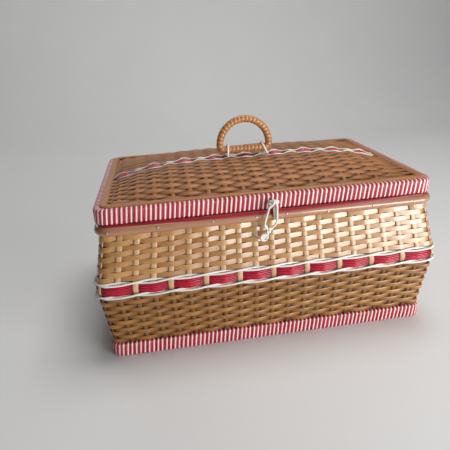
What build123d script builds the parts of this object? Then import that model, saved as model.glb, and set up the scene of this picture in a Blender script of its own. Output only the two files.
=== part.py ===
"""Woven sewing basket with one hinged lid, a swing handle and a wire hasp.

Millimetres. +Z is up, the front of the basket faces -Y, and the origin is the middle of the underside.
A plain over-and-under weave stands on a bound base hoop, bulges to a laced belt and draws in to the rim.
Each woven band stands for three neighbouring strands that follow the same path.
"""
import os
from math import atan2, copysign, cos, degrees, pi, sin, sqrt

from build123d import *

os.makedirs("parts", exist_ok=True)

# ---------------------------------------------------------------- driving dimensions
CLEARANCE = 0.3               # between pieces that move past each other
SEAT_GAP = 0.1                # between pieces that rest on each other

# base hoop, bound in plastic lacing
BASE_HALF_WIDTH = 189.0
BASE_HALF_DEPTH = 117.8
BASE_CORNER = 13.0
BASE_HEIGHT = 16.9
BASE_TIMBER = 11.0
LACING_THICKNESS = 1.0        # strands of a binding, lying side by side
BINDING_BEVEL = 1.5           # softened edges of a bound hoop
FLOOR_HEIGHT = 8.0
FLOOR_THICKNESS = 3.0
FLOOR_PAD_THICKNESS = 5.6
BOARD_EASE = 0.5              # between a board or pad and the hoop around it

# wall: where the line through the stakes runs, from the outside of the base hoop, in width and in depth
FOOT_INSET = (4.0, 3.8)
BELT_OVERHANG = (2.5, 6.7)
TOP_INSET = (9.3, 5.1)
BELT_HEIGHT = 90.4
WALL_TOP = 149.0
WALL_CORNER = 12.0

# weave of the wall
LONG_SIDE_SPACES = 20         # spaces between stakes along the front
SHORT_SIDE_SPACES = 12
STAKE_WIDTH = 4.6
CORNER_STAKE_WIDTH = 2.6      # at a corner and each side of it, where the weave turns
STAKE_THICKNESS = 1.8
WEAVER_THICKNESS = 1.2
WEAVER_SWING = 2.4            # how far a weaver stands off the stake line
CORNER_EASE = 0.6             # and further outside a corner stake
LOWER_ROWS = 4
UPPER_ROWS = 3
ROW_GAP = 0.5
BELT_BAND = 12.3              # height of the red lacing
TWINE_WIDTH = 2.1             # white cord along each edge of the lacing
TWINE_STAND = 0.8             # between the cord and a stake

# rim pole on top of the stakes, and the satin lining inside the wall
RIM_OVERHANG = (5.8, 7.1)      # from the stake line at the top to the outside of the pole
RIM_CORNER = 18.0
RIM_POLE = 10.4
POLE_BEVEL = 3.0
LINING_THICKNESS = 2.5
LINING_STAND = 1.1            # how far the lining stands over the rim pole

# lid hoop, bound in the same lacing
LID_INSET = (0.5, 4.8)         # from the outside of the rim pole
LID_CORNER = 14.0
LID_SEAT = 0.4                # air between the lining and the closed lid
LID_HEIGHT = 16.4
LID_TIMBER = 12.0
LID_LEDGE = 7.0               # inner step that the weave rests on
LID_BOARD_THICKNESS = 3.0
LID_PAD_THICKNESS = 2.2
REED_WIDTH = 9.0
REED_HEIGHT = 3.5
REED_BEVEL = 2.0
REED_INSET = 6.0              # lacing left showing outside the border reed
REED_CORNER = 10.0
INNER_CORNER = 1.0            # inside corners of the hoops

# domed weave of the lid
DOME_RISE = 21.0
DOME_FLATNESS = (4, 3)        # powers that hold the middle flat, across and from front to back
LID_STAKES = 17
LID_STAKE_SHIFT = -6.5        # the stakes stand left of the middle, as the handle does
LID_STAKE_WIDTH = 4.5
LID_STAKE_THICKNESS = 1.2
LID_STAKE_BENDS = 7
BEND_CROWDING = 0.7           # power that draws a stake's bends towards its steep ends
LID_WEAVER_THICKNESS = 1.6
LID_WEAVER_SWING = 2.7
FRONT_LID_ROWS = 6            # in front of the red lacing, and behind it
BACK_LID_ROWS = 8
LACED_Y = -10.0               # middle of the red lacing
LACED_WIDTH = 10.6
LID_TWINE = 2.2

# handle, a bent rod bound in cane
ROD_BORE = 6.4                # the rod inside the cane
CANE_THICKNESS = 1.3
HANDLE_X = -7.0
HANDLE_HALF_WIDTH = 30.5      # to the middle of the rod
HANDLE_RISE = 36.5            # middle of the bar to middle of the arch
HANDLE_CORNER = 7.0
HANDLE_REST = 0.5             # air between the bar and the cords of the lid
BAR_SOCKET = 2.2              # straight start of the arch beside the bar
BAR_SWELL = 0.8               # lapped ends in the middle of the bar
BAR_SWELL_LENGTH = 12.0
ARCH_BENDS = 9
ROD_FACETS = 8
CANE_FACETS = 12
TIE_SPACING = 44.0
TIE_CORD = 2.2

# hasp of plastic-covered wire, and the catch that it drops over
HASP_WIRE = 2.1
HASP_X = 0.8
HASP_STAPLE_RISE = 9.7        # above the lid's underside
HASP_STAPLE_WIDTH = 5.0       # inside the legs
HASP_STAPLE_STAND = 1.2       # front of the rim pole to the middle of the bow
LOOP_TOP_HALF_WIDTH = 1.6
LOOP_LOW_HALF_WIDTH = 8.2
LOOP_LOW_DROP = 22.0          # below the middle of the staple
LOOP_FOOT_DROP = 31.0
LOOP_LEAN = 3.5               # how far the middle of the loop hangs to the left
NECK_LEAN = 5.4               # and its foot
LOOP_ROUND = 4.0
LOOP_TOP_ROUND = 1.4
NECK_WIDTH = 4.0              # the twisted ends of the wire
CATCH_WIDTH = 3.2
CATCH_OFFSET = 0.9
CATCH_FOOT_DROP = 18.5
CATCH_LENGTH = 14.0
PULL_RING = 9.5               # over the wire
RING_FACETS = 16
EYE_FACETS = 10               # of an eye bent in wire
PULL_RING_LEAN = 11.5
PULL_RING_DROP = 37.1

# two hinges of bent strip at the back
HINGE_SHARE = 0.6             # hinge spacing as a share of the lid's width
HINGE_STAND = 1.7             # back of the rim pole to the hinge line
HINGE_RISE = 6.0              # middle of the rim pole to the hinge line
HINGE_WIRE = 1.8
HINGE_STAPLE_WIDTH = 5.0      # inside the legs
HINGE_STAPLE_RISE = 6.5

# ---------------------------------------------------------------- derived sizes
FOOT_HALF_WIDTH = BASE_HALF_WIDTH - FOOT_INSET[0]
FOOT_HALF_DEPTH = BASE_HALF_DEPTH - FOOT_INSET[1]
BELT_HALF_WIDTH = BASE_HALF_WIDTH + BELT_OVERHANG[0]
BELT_HALF_DEPTH = BASE_HALF_DEPTH + BELT_OVERHANG[1]
TOP_HALF_WIDTH = BASE_HALF_WIDTH - TOP_INSET[0]
TOP_HALF_DEPTH = BASE_HALF_DEPTH - TOP_INSET[1]
RIM_HALF_WIDTH = TOP_HALF_WIDTH + RIM_OVERHANG[0]
RIM_HALF_DEPTH = TOP_HALF_DEPTH + RIM_OVERHANG[1]
LID_HALF_WIDTH = RIM_HALF_WIDTH - LID_INSET[0]
LID_HALF_DEPTH = RIM_HALF_DEPTH - LID_INSET[1]
STAKE_COUNT = 2 * (LONG_SIDE_SPACES + SHORT_SIDE_SPACES)
WEAVE_REACH = WEAVER_SWING + WEAVER_THICKNESS / 2
BELT_LOW = BELT_HEIGHT - BELT_BAND / 2
BELT_HIGH = BELT_HEIGHT + BELT_BAND / 2
RIM_HEIGHT = WALL_TOP + SEAT_GAP + RIM_POLE / 2
LINING_TOP = RIM_HEIGHT + RIM_POLE / 2 + LINING_STAND
LID_UNDERSIDE = LINING_TOP + LID_SEAT
LID_TOP = LID_UNDERSIDE + LID_HEIGHT
LID_WEAVE_REACH = LID_WEAVER_SWING + LID_WEAVER_THICKNESS / 2
TIMBER_INNER_WIDTH = LID_HALF_WIDTH - LACING_THICKNESS - LID_TIMBER
TIMBER_INNER_DEPTH = LID_HALF_DEPTH - LACING_THICKNESS - LID_TIMBER
PANEL_HALF_WIDTH = TIMBER_INNER_WIDTH - CLEARANCE
PANEL_HALF_DEPTH = TIMBER_INNER_DEPTH - CLEARANCE
REED_INNER_DEPTH = LID_HALF_DEPTH - REED_INSET - REED_WIDTH
RISE_UNDER_REED = DOME_RISE * (1 - (REED_INNER_DEPTH / PANEL_HALF_DEPTH) ** DOME_FLATNESS[1])
PANEL_EDGE = LID_TOP - SEAT_GAP - LID_WEAVE_REACH - max(RISE_UNDER_REED, 0)
LEDGE_TOP = PANEL_EDGE - LID_WEAVE_REACH - SEAT_GAP
LEDGE_INNER_WIDTH = TIMBER_INNER_WIDTH - LID_LEDGE
LEDGE_INNER_DEPTH = TIMBER_INNER_DEPTH - LID_LEDGE
REED_INNER_WIDTH = LID_HALF_WIDTH - REED_INSET - REED_WIDTH
LACED_LOW = LACED_Y - LACED_WIDTH / 2
LACED_HIGH = LACED_Y + LACED_WIDTH / 2


# ---------------------------------------------------------------- wall
SIDES = (
    (LONG_SIDE_SPACES, 1, 0),     # front, walked towards +X
    (SHORT_SIDE_SPACES, 0, 1),
    (LONG_SIDE_SPACES, -1, 0),
    (SHORT_SIDE_SPACES, 0, -1),
)
CORNERS = [0, LONG_SIDE_SPACES, STAKE_COUNT // 2, STAKE_COUNT // 2 + LONG_SIDE_SPACES]
TURNING = sorted((corner + step) % STAKE_COUNT for corner in CORNERS for step in (-1, 0, 1))


def between(start, end, share):
    return start + (end - start) * share


def wall_size(z):
    """Half width and half depth of the stake line at height z: out to the belt, then in to the rim."""
    if z < BELT_HEIGHT:
        share = (z - BASE_HEIGHT) / (BELT_HEIGHT - BASE_HEIGHT)
        return (between(FOOT_HALF_WIDTH, BELT_HALF_WIDTH, share),
                between(FOOT_HALF_DEPTH, BELT_HALF_DEPTH, share))
    share = (z - BELT_HEIGHT) / (WALL_TOP - BELT_HEIGHT)
    return (between(BELT_HALF_WIDTH, TOP_HALF_WIDTH, share),
            between(BELT_HALF_DEPTH, TOP_HALF_DEPTH, share))


def stake_place(index, size, out):
    """Point that stands `out` from the stake line, at a stake counted from the front left corner."""
    for spaces, run_x, run_y in SIDES:
        if index < spaces:
            break
        index -= spaces
    length, reach = size if run_x else size[::-1]
    tuck = WALL_CORNER * (1 - sqrt(0.5))
    along = (2 * index / spaces - 1) * (length - tuck)
    if index == 0:
        along -= out * sqrt(0.5)
        reach -= tuck - out * sqrt(0.5)
    else:
        reach += out
    return (run_x * along + run_y * reach, run_y * along - run_x * reach)


def stake_facing(index):
    """Angle of the outward normal at a stake, in degrees."""
    x, y = (a - b for a, b in zip(stake_place(index, (0, 0), 1), stake_place(index, (0, 0), 0)))
    return degrees(atan2(y, x))


def wall_outline(size, out):
    """The plan of the wall, which turns only at a corner stake and the stake each side of it."""
    return [stake_place(i, size, out) for i in TURNING]


def woven_line(z, phase, side):
    """A weaver's inner (-1) or outer (+1) face at height z: outside one stake, inside the next."""
    points = []
    for i in range(STAKE_COUNT):
        outside = WEAVER_SWING + (CORNER_EASE if i in CORNERS else 0)
        offset = outside if i % 2 == phase else -WEAVER_SWING
        points.append(stake_place(i, wall_size(z), offset + side * WEAVER_THICKNESS / 2))
    return points


def ring_section(z, outer, inner):
    """Sketch of a closed band at height z."""
    with BuildSketch(Plane.XY.offset(z)) as section:
        Polygon(*outer, align=None)
        Polygon(*inner, align=None, mode=Mode.SUBTRACT)
    return section.sketch


def woven_band(heights, phase):
    """Sections of one band of the weave, at each of the heights."""
    return [ring_section(z, woven_line(z, phase, 1), woven_line(z, phase, -1)) for z in heights]


def rows_between(low, high, rows):
    """The two edges of each of the rows that fill a weave from low to high."""
    pitch = (high - low) / rows
    return [(low + row * pitch, low + (row + 1) * pitch - ROW_GAP) for row in range(rows)]


lower_rows = rows_between(BASE_HEIGHT + ROW_GAP, BELT_LOW - ROW_GAP - TWINE_WIDTH, LOWER_ROWS)
upper_rows = rows_between(BELT_HIGH + 2 * ROW_GAP + TWINE_WIDTH, WALL_TOP, UPPER_ROWS)

with BuildPart() as wall_stakes:
    for stake in range(STAKE_COUNT):
        for height in (BASE_HEIGHT + SEAT_GAP, BELT_HEIGHT, WALL_TOP):
            foot = Vector(*stake_place(stake, wall_size(height), 0), height)
            with BuildSketch(Plane(origin=foot, x_dir=(1, 0, 0), z_dir=(0, 0, 1))):
                Rectangle(STAKE_THICKNESS, CORNER_STAKE_WIDTH if stake in TURNING else STAKE_WIDTH,
                          rotation=stake_facing(stake))
        loft(ruled=True, clean=False)

with BuildPart() as lower_weavers:
    for row, (low, high) in enumerate(lower_rows):
        loft(woven_band((low, high), row % 2), ruled=True, clean=False)

with BuildPart() as belt_lacing:
    loft(woven_band((BELT_LOW, BELT_HEIGHT, BELT_HIGH), 1), ruled=True, clean=False)

with BuildPart() as belt_twines:
    for low in (BELT_LOW - ROW_GAP - TWINE_WIDTH, BELT_HIGH + ROW_GAP):
        seat = STAKE_THICKNESS / 2 + TWINE_STAND
        loft([ring_section(z, wall_outline(wall_size(z), seat + TWINE_WIDTH), wall_outline(wall_size(z), seat))
              for z in (low, low + TWINE_WIDTH)], ruled=True, clean=False)

with BuildPart() as upper_weavers:
    for row, (low, high) in enumerate(upper_rows):
        loft(woven_band((low, high), row % 2), ruled=True, clean=False)


# ---------------------------------------------------------------- base hoop and floor
def hoop_sketch(z, half_width, half_depth, corner, wall):
    """Rounded rectangle at height z, with a like opening `wall` inside it."""
    with BuildSketch(Plane.XY.offset(z)) as hoop:
        RectangleRounded(2 * half_width, 2 * half_depth, corner)
        if wall:
            RectangleRounded(2 * (half_width - wall), 2 * (half_depth - wall), max(corner - wall, INNER_CORNER),
                             mode=Mode.SUBTRACT)
    return hoop.sketch


BASE_INNER_WIDTH = BASE_HALF_WIDTH - LACING_THICKNESS - BASE_TIMBER
BASE_INNER_DEPTH = BASE_HALF_DEPTH - LACING_THICKNESS - BASE_TIMBER
TIMBER_TUCK = LACING_THICKNESS + SEAT_GAP

with BuildPart() as base_frame:
    extrude(hoop_sketch(TIMBER_TUCK, BASE_HALF_WIDTH - TIMBER_TUCK, BASE_HALF_DEPTH - TIMBER_TUCK,
                        BASE_CORNER - TIMBER_TUCK, BASE_TIMBER), BASE_HEIGHT - 2 * TIMBER_TUCK)

with BuildPart() as base_wrap:
    extrude(hoop_sketch(0, BASE_HALF_WIDTH, BASE_HALF_DEPTH, BASE_CORNER, 0), BASE_HEIGHT)
    chamfer(base_wrap.edges().group_by(Axis.Z)[0] + base_wrap.edges().group_by(Axis.Z)[-1], BINDING_BEVEL)
    extrude(hoop_sketch(0, BASE_INNER_WIDTH, BASE_INNER_DEPTH, INNER_CORNER, 0),
            BASE_HEIGHT, mode=Mode.SUBTRACT)
    extrude(hoop_sketch(LACING_THICKNESS, BASE_HALF_WIDTH - LACING_THICKNESS,
                        BASE_HALF_DEPTH - LACING_THICKNESS, BASE_CORNER - LACING_THICKNESS, 0),
            BASE_HEIGHT - 2 * LACING_THICKNESS, mode=Mode.SUBTRACT)

with BuildPart() as floor_board:
    with BuildSketch(Plane.XY.offset(FLOOR_HEIGHT)):
        Rectangle(2 * (BASE_INNER_WIDTH - BOARD_EASE), 2 * (BASE_INNER_DEPTH - BOARD_EASE))
    extrude(amount=FLOOR_THICKNESS)

with BuildPart() as floor_pad:
    with BuildSketch(Plane.XY.offset(FLOOR_HEIGHT + FLOOR_THICKNESS + SEAT_GAP)):
        Rectangle(2 * (BASE_INNER_WIDTH - BOARD_EASE), 2 * (BASE_INNER_DEPTH - BOARD_EASE))
    extrude(amount=FLOOR_PAD_THICKNESS)

# ---------------------------------------------------------------- rim pole and lining
with BuildPart() as rim_pole:
    extrude(hoop_sketch(WALL_TOP + SEAT_GAP, RIM_HALF_WIDTH, RIM_HALF_DEPTH, RIM_CORNER, RIM_POLE), RIM_POLE)
    chamfer(rim_pole.edges().group_by(Axis.Z)[0] + rim_pole.edges().group_by(Axis.Z)[-1], POLE_BEVEL)

RIM_INSIDE = (RIM_HALF_WIDTH - RIM_POLE, RIM_HALF_DEPTH - RIM_POLE)
lining_levels = (
    (BASE_HEIGHT + SEAT_GAP, wall_size(BASE_HEIGHT), -WEAVE_REACH - CLEARANCE),
    (BELT_HEIGHT, wall_size(BELT_HEIGHT), -WEAVE_REACH - CLEARANCE),
    (WALL_TOP, wall_size(WALL_TOP), -WEAVE_REACH - CLEARANCE),
    (WALL_TOP + POLE_BEVEL, RIM_INSIDE, -CLEARANCE),
    (LINING_TOP, RIM_INSIDE, -CLEARANCE),
)
with BuildPart() as wall_lining:
    loft([ring_section(z, wall_outline(size, out), wall_outline(size, out - LINING_THICKNESS))
          for z, size, out in lining_levels], ruled=True, clean=False)

# ---------------------------------------------------------------- lid hoop
with BuildPart() as lid_frame:
    timber_low = LID_UNDERSIDE + TIMBER_TUCK
    extrude(hoop_sketch(timber_low, LID_HALF_WIDTH - TIMBER_TUCK, LID_HALF_DEPTH - TIMBER_TUCK,
                        LID_CORNER - TIMBER_TUCK, LID_TIMBER - SEAT_GAP), LID_HEIGHT - 2 * TIMBER_TUCK)
    extrude(hoop_sketch(timber_low, TIMBER_INNER_WIDTH, TIMBER_INNER_DEPTH, LID_LEDGE, LID_LEDGE),
            LEDGE_TOP - timber_low)

with BuildPart() as lid_wrap:
    extrude(hoop_sketch(LID_UNDERSIDE, LID_HALF_WIDTH, LID_HALF_DEPTH, LID_CORNER, 0), LID_HEIGHT)
    chamfer(lid_wrap.edges().group_by(Axis.Z)[0] + lid_wrap.edges().group_by(Axis.Z)[-1], BINDING_BEVEL)
    extrude(hoop_sketch(LID_UNDERSIDE + LACING_THICKNESS, LID_HALF_WIDTH - LACING_THICKNESS,
                        LID_HALF_DEPTH - LACING_THICKNESS, LID_CORNER - LACING_THICKNESS, 0),
            LID_HEIGHT - 2 * LACING_THICKNESS, mode=Mode.SUBTRACT)
    extrude(hoop_sketch(LID_UNDERSIDE, LEDGE_INNER_WIDTH, LEDGE_INNER_DEPTH, INNER_CORNER, 0),
            LACING_THICKNESS, mode=Mode.SUBTRACT)
    extrude(hoop_sketch(LID_TOP - LACING_THICKNESS, TIMBER_INNER_WIDTH, TIMBER_INNER_DEPTH, INNER_CORNER, 0),
            LACING_THICKNESS, mode=Mode.SUBTRACT)

with BuildPart() as lid_border_reed:
    extrude(hoop_sketch(LID_TOP + SEAT_GAP, LID_HALF_WIDTH - REED_INSET, LID_HALF_DEPTH - REED_INSET,
                        REED_CORNER, REED_WIDTH), REED_HEIGHT)
    chamfer(lid_border_reed.edges().group_by(Axis.Z)[-1], REED_BEVEL)

with BuildPart() as lid_pad:
    with BuildSketch(Plane.XY.offset(LID_UNDERSIDE + SEAT_GAP)):
        Rectangle(2 * (LEDGE_INNER_WIDTH - BOARD_EASE), 2 * (LEDGE_INNER_DEPTH - BOARD_EASE))
    extrude(amount=LID_PAD_THICKNESS)

with BuildPart() as lid_board:
    with BuildSketch(Plane.XY.offset(LID_UNDERSIDE + LID_PAD_THICKNESS + 2 * SEAT_GAP)):
        Rectangle(2 * (LEDGE_INNER_WIDTH - BOARD_EASE), 2 * (LEDGE_INNER_DEPTH - BOARD_EASE))
    extrude(amount=LID_BOARD_THICKNESS)


# ---------------------------------------------------------------- domed weave of the lid
def dome(x, y):
    """Height of the middle of the lid's weave."""
    across, along = (1 - abs(place / half) ** power for place, half, power in zip(
        (x, y), (PANEL_HALF_WIDTH, PANEL_HALF_DEPTH), DOME_FLATNESS))
    return PANEL_EDGE + DOME_RISE * across * along


def lid_stations():
    """Where a lid weaver turns: its two ends and each stake."""
    pitch = 2 * PANEL_HALF_WIDTH / (LID_STAKES + 1)
    stakes = [LID_STAKE_SHIFT + i * pitch - PANEL_HALF_WIDTH for i in range(1, LID_STAKES + 1)]
    return [-PANEL_HALF_WIDTH, *stakes, PANEL_HALF_WIDTH]


def lid_line(y, phase, swing, lift, half_width):
    """Points along a strand across the lid at depth y, lifted off the dome, over and under the stakes."""
    points = []
    for i, station in enumerate(lid_stations()):
        x = max(-half_width, min(half_width, station))
        wave = 0 if i in (0, LID_STAKES + 1) else swing * (1 if i % 2 == phase else -1)
        points.append((x, dome(x, y) + wave + lift))
    return points


def lid_strand(edges, phase, swing, lift, thickness, half_width):
    """Sections of one strand across the lid, at its front and back edge."""
    sections = []
    for y in edges:
        under = lid_line(y, phase, swing, lift, half_width)
        over = lid_line(y, phase, swing, lift + thickness, half_width)
        with BuildSketch(Plane.XZ.offset(-y)) as section:
            Polygon(*under, *reversed(over), align=None)
        sections.append(section.sketch)
    return sections


def lid_row(edges, phase):
    """Sections of a row of the lid's weave."""
    return lid_strand(edges, phase, LID_WEAVER_SWING, -LID_WEAVER_THICKNESS / 2, LID_WEAVER_THICKNESS,
                      PANEL_HALF_WIDTH)


front_rows = rows_between(-PANEL_HALF_DEPTH, LACED_LOW, FRONT_LID_ROWS)
laced_row = (LACED_LOW, LACED_HIGH - ROW_GAP)
back_rows = rows_between(LACED_HIGH, PANEL_HALF_DEPTH, BACK_LID_ROWS)

with BuildPart() as lid_stakes:
    shares = [2 * i / LID_STAKE_BENDS - 1 for i in range(LID_STAKE_BENDS + 1)]
    bends = [copysign(PANEL_HALF_DEPTH * abs(share) ** BEND_CROWDING, share) for share in shares]
    for middle in lid_stations()[1:-1]:
        for x in (middle - LID_STAKE_WIDTH / 2, middle + LID_STAKE_WIDTH / 2):
            under = [(y, dome(x, y) - LID_STAKE_THICKNESS / 2) for y in bends]
            over = [(y, z + LID_STAKE_THICKNESS) for y, z in reversed(under)]
            with BuildSketch(Plane.YZ.offset(x)):
                Polygon(*under, *over, align=None)
        loft(ruled=True, clean=False)

with BuildPart() as lid_weavers:
    for row, edges in enumerate(front_rows + [laced_row] + back_rows, start=1):
        if edges != laced_row:
            loft(lid_row(edges, row % 2), ruled=True, clean=False)

with BuildPart() as lid_lacing:
    loft(lid_row(laced_row, (FRONT_LID_ROWS + 1) % 2), ruled=True, clean=False)

with BuildPart() as lid_twines:
    for edge in (LACED_LOW, LACED_HIGH):
        loft(lid_strand((edge - LID_TWINE / 2, edge + LID_TWINE / 2), 0, 0, LID_WEAVE_REACH + SEAT_GAP,
                        LID_TWINE, REED_INNER_WIDTH - CLEARANCE), ruled=True, clean=False)

# ---------------------------------------------------------------- handle
CANE_RADIUS = ROD_BORE / 2 + CANE_THICKNESS
TWINE_TOP = dome(HANDLE_X, LACED_Y) + LID_WEAVE_REACH + SEAT_GAP + LID_TWINE
BAR_HEIGHT = TWINE_TOP + HANDLE_REST + CANE_RADIUS
ARCH_HEIGHT = BAR_HEIGHT + HANDLE_RISE - HANDLE_HALF_WIDTH
HANDLE_PLANE = Plane.XZ.offset(-LACED_Y)
BAR_HALF_LENGTH = HANDLE_HALF_WIDTH - HANDLE_CORNER


def arch_points():
    """Middle of the rod from the right end of the bar, up one leg, over the arch and down to the left end."""
    turns = [pi * i / ARCH_BENDS for i in range(ARCH_BENDS + 1)]
    arch = [(HANDLE_HALF_WIDTH * cos(turn), ARCH_HEIGHT + HANDLE_HALF_WIDTH * sin(turn)) for turn in turns]
    turn = HANDLE_CORNER * (1 - sqrt(0.5))
    right = [(BAR_HALF_LENGTH, BAR_HEIGHT), (BAR_HALF_LENGTH + BAR_SOCKET, BAR_HEIGHT),
             (HANDLE_HALF_WIDTH - turn, BAR_HEIGHT + turn)]
    outline = right + arch + [(-x, z) for x, z in reversed(right)]
    return [(HANDLE_X + x, z) for x, z in outline]


with BuildPart() as handle_rod:
    with BuildLine(HANDLE_PLANE) as rod_line:
        Polyline((HANDLE_X, BAR_HEIGHT), *arch_points(), (HANDLE_X, BAR_HEIGHT))
    with BuildSketch(Plane(origin=rod_line.wire() @ 0, z_dir=rod_line.wire() % 0)):
        RegularPolygon(ROD_BORE / 2 - SEAT_GAP, ROD_FACETS)
    sweep(transition=Transition.RIGHT)

with BuildPart() as handle_wrap:
    with BuildLine(HANDLE_PLANE) as wrap_line:
        Polyline(*arch_points())
    with BuildSketch(Plane(origin=wrap_line.wire() @ 0, z_dir=wrap_line.wire() % 0)):
        RegularPolygon(CANE_RADIUS, CANE_FACETS)
        RegularPolygon(ROD_BORE / 2 + SEAT_GAP, ROD_FACETS, mode=Mode.SUBTRACT)
    sweep(transition=Transition.RIGHT)

with BuildPart() as handle_bar_wrap:
    bar_stations = (
        (-BAR_HALF_LENGTH + 2 * SEAT_GAP, 0),
        (-BAR_SWELL_LENGTH / 2, 0),
        (-BAR_SWELL_LENGTH / 4, BAR_SWELL),
        (BAR_SWELL_LENGTH / 4, BAR_SWELL),
        (BAR_SWELL_LENGTH / 2, 0),
        (BAR_HALF_LENGTH - 2 * SEAT_GAP, 0),
    )
    for x, swell in bar_stations:
        with BuildSketch(Plane(origin=(HANDLE_X + x, LACED_Y, BAR_HEIGHT), x_dir=(0, 1, 0), z_dir=(1, 0, 0))):
            RegularPolygon(CANE_RADIUS + swell, CANE_FACETS)
            RegularPolygon(ROD_BORE / 2 + SEAT_GAP, ROD_FACETS, mode=Mode.SUBTRACT)
    loft(ruled=True, clean=False)


def bar_tie(x):
    """Sketch of a cord looped over the handle's bar, its two ends on the twines of the lid."""
    bore = CANE_RADIUS + CLEARANCE
    foot = TWINE_TOP + SEAT_GAP
    with BuildSketch(Plane.YZ.offset(x - TIE_CORD / 2)) as tie:
        with Locations((LACED_Y, BAR_HEIGHT)):
            Circle(bore + TIE_CORD)
            Circle(bore, mode=Mode.SUBTRACT)
        with Locations((LACED_Y, BAR_HEIGHT)):
            Rectangle(2 * (bore + TIE_CORD), bore + TIE_CORD, align=(Align.CENTER, Align.MAX), mode=Mode.SUBTRACT)
        for side in (-1, 1):
            with Locations((LACED_Y + side * (bore + TIE_CORD / 2), foot)):
                Rectangle(TIE_CORD, BAR_HEIGHT - foot, align=(Align.CENTER, Align.MIN))
    return tie.sketch


with BuildPart() as handle_tie_left:
    extrude(bar_tie(HANDLE_X - TIE_SPACING / 2), TIE_CORD)

with BuildPart() as handle_tie_right:
    extrude(bar_tie(HANDLE_X + TIE_SPACING / 2), TIE_CORD)

# ---------------------------------------------------------------- hasp
STAPLE_Y = -RIM_HALF_DEPTH - HASP_STAPLE_STAND
HASP_STAPLE_HEIGHT = LID_UNDERSIDE + HASP_STAPLE_RISE
EYE_BORE = HASP_WIRE / 2 * sqrt(2) + CLEARANCE
CATCH_Y = -RIM_HALF_DEPTH - SEAT_GAP - CATCH_WIDTH / 2
LOOP_Y = CATCH_Y - CATCH_WIDTH / 2 - CLEARANCE - HASP_WIRE / 2


def bow(inside_width, wire, reach):
    """Sketch of a staple's bow and two legs, its bow's middle on the origin and its legs `reach` long."""
    with BuildSketch(mode=Mode.PRIVATE) as staple:
        with Locations((0, (reach - wire / 2) / 2)):
            Rectangle(inside_width + 2 * wire, reach + wire / 2)
        with Locations((0, wire / 2 + reach / 2)):
            Rectangle(inside_width, reach, mode=Mode.SUBTRACT)
    return staple.sketch


with BuildPart() as hasp_staple:
    with BuildSketch(Plane(origin=(HASP_X, STAPLE_Y, HASP_STAPLE_HEIGHT - HASP_WIRE / 2))):
        add(bow(HASP_STAPLE_WIDTH, HASP_WIRE, -LID_HALF_DEPTH - STAPLE_Y - SEAT_GAP))
    extrude(amount=HASP_WIRE)

LOOP_MIDDLE = HASP_X - LOOP_LEAN
PULL_RING_X = HASP_X - PULL_RING_LEAN
PULL_RING_HEIGHT = HASP_STAPLE_HEIGHT - PULL_RING_DROP

with BuildPart() as hasp_loop:
    with BuildSketch(Plane.XZ.offset(-LOOP_Y - HASP_WIRE / 2)):
        with BuildLine():
            FilletPolyline(
                (HASP_X + LOOP_TOP_HALF_WIDTH, HASP_STAPLE_HEIGHT),
                (LOOP_MIDDLE + LOOP_LOW_HALF_WIDTH, HASP_STAPLE_HEIGHT - LOOP_LOW_DROP),
                (HASP_X - NECK_LEAN, HASP_STAPLE_HEIGHT - LOOP_FOOT_DROP),
                (LOOP_MIDDLE - LOOP_LOW_HALF_WIDTH, HASP_STAPLE_HEIGHT - LOOP_LOW_DROP),
                (HASP_X - LOOP_TOP_HALF_WIDTH, HASP_STAPLE_HEIGHT),
                radius=[LOOP_TOP_ROUND, LOOP_ROUND, LOOP_ROUND, LOOP_ROUND, LOOP_TOP_ROUND], close=True)
        make_face()
        offset(amount=-HASP_WIRE, kind=Kind.INTERSECTION, mode=Mode.SUBTRACT)
    extrude(amount=HASP_WIRE)
    with BuildSketch(Plane.YZ.offset(HASP_X - HASP_WIRE / 2)):
        with Locations((STAPLE_Y, HASP_STAPLE_HEIGHT)):
            RegularPolygon(EYE_BORE + HASP_WIRE, EYE_FACETS)
            RegularPolygon(EYE_BORE, EYE_FACETS, major_radius=False, mode=Mode.SUBTRACT)
    extrude(amount=HASP_WIRE)
    neck_top = Vector(HASP_X - NECK_LEAN, LOOP_Y, HASP_STAPLE_HEIGHT - LOOP_FOOT_DROP + HASP_WIRE)
    neck_run = Vector(PULL_RING_X, LOOP_Y, PULL_RING_HEIGHT) - neck_top
    with BuildSketch(Plane(origin=neck_top, z_dir=neck_run)):
        RegularPolygon(NECK_WIDTH / 2, EYE_FACETS)
    extrude(amount=neck_run.length - PULL_RING / 2 - SEAT_GAP)

with BuildPart() as hasp_ring:
    with BuildSketch(Plane.XZ.offset(-LOOP_Y - HASP_WIRE / 2)):
        with Locations((PULL_RING_X, PULL_RING_HEIGHT)):
            RegularPolygon(PULL_RING / 2, RING_FACETS)
            RegularPolygon(PULL_RING / 2 - HASP_WIRE, RING_FACETS, mode=Mode.SUBTRACT)
    extrude(amount=HASP_WIRE)

with BuildPart() as hasp_catch:
    with BuildSketch(Plane.XZ.offset(RIM_HALF_DEPTH + SEAT_GAP)):
        with Locations((HASP_X + CATCH_OFFSET, HASP_STAPLE_HEIGHT - CATCH_FOOT_DROP + CATCH_LENGTH / 2)):
            SlotOverall(CATCH_LENGTH, CATCH_WIDTH, rotation=90)
    extrude(amount=CATCH_WIDTH)

# ---------------------------------------------------------------- hinges
HINGE_Y = RIM_HALF_DEPTH + HINGE_STAND
HINGE_HEIGHT = RIM_HEIGHT + HINGE_RISE
HINGE_X = HINGE_SHARE * LID_HALF_WIDTH
HINGE_BORE = HINGE_WIRE / 2 * sqrt(2) + CLEARANCE
TO_POLE = Vector(RIM_HALF_DEPTH - RIM_POLE / 2 - HINGE_Y, RIM_HEIGHT - HINGE_HEIGHT)
TO_LID = Vector(0, LID_HALF_DEPTH - HINGE_Y, HINGE_STAPLE_RISE)

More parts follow.
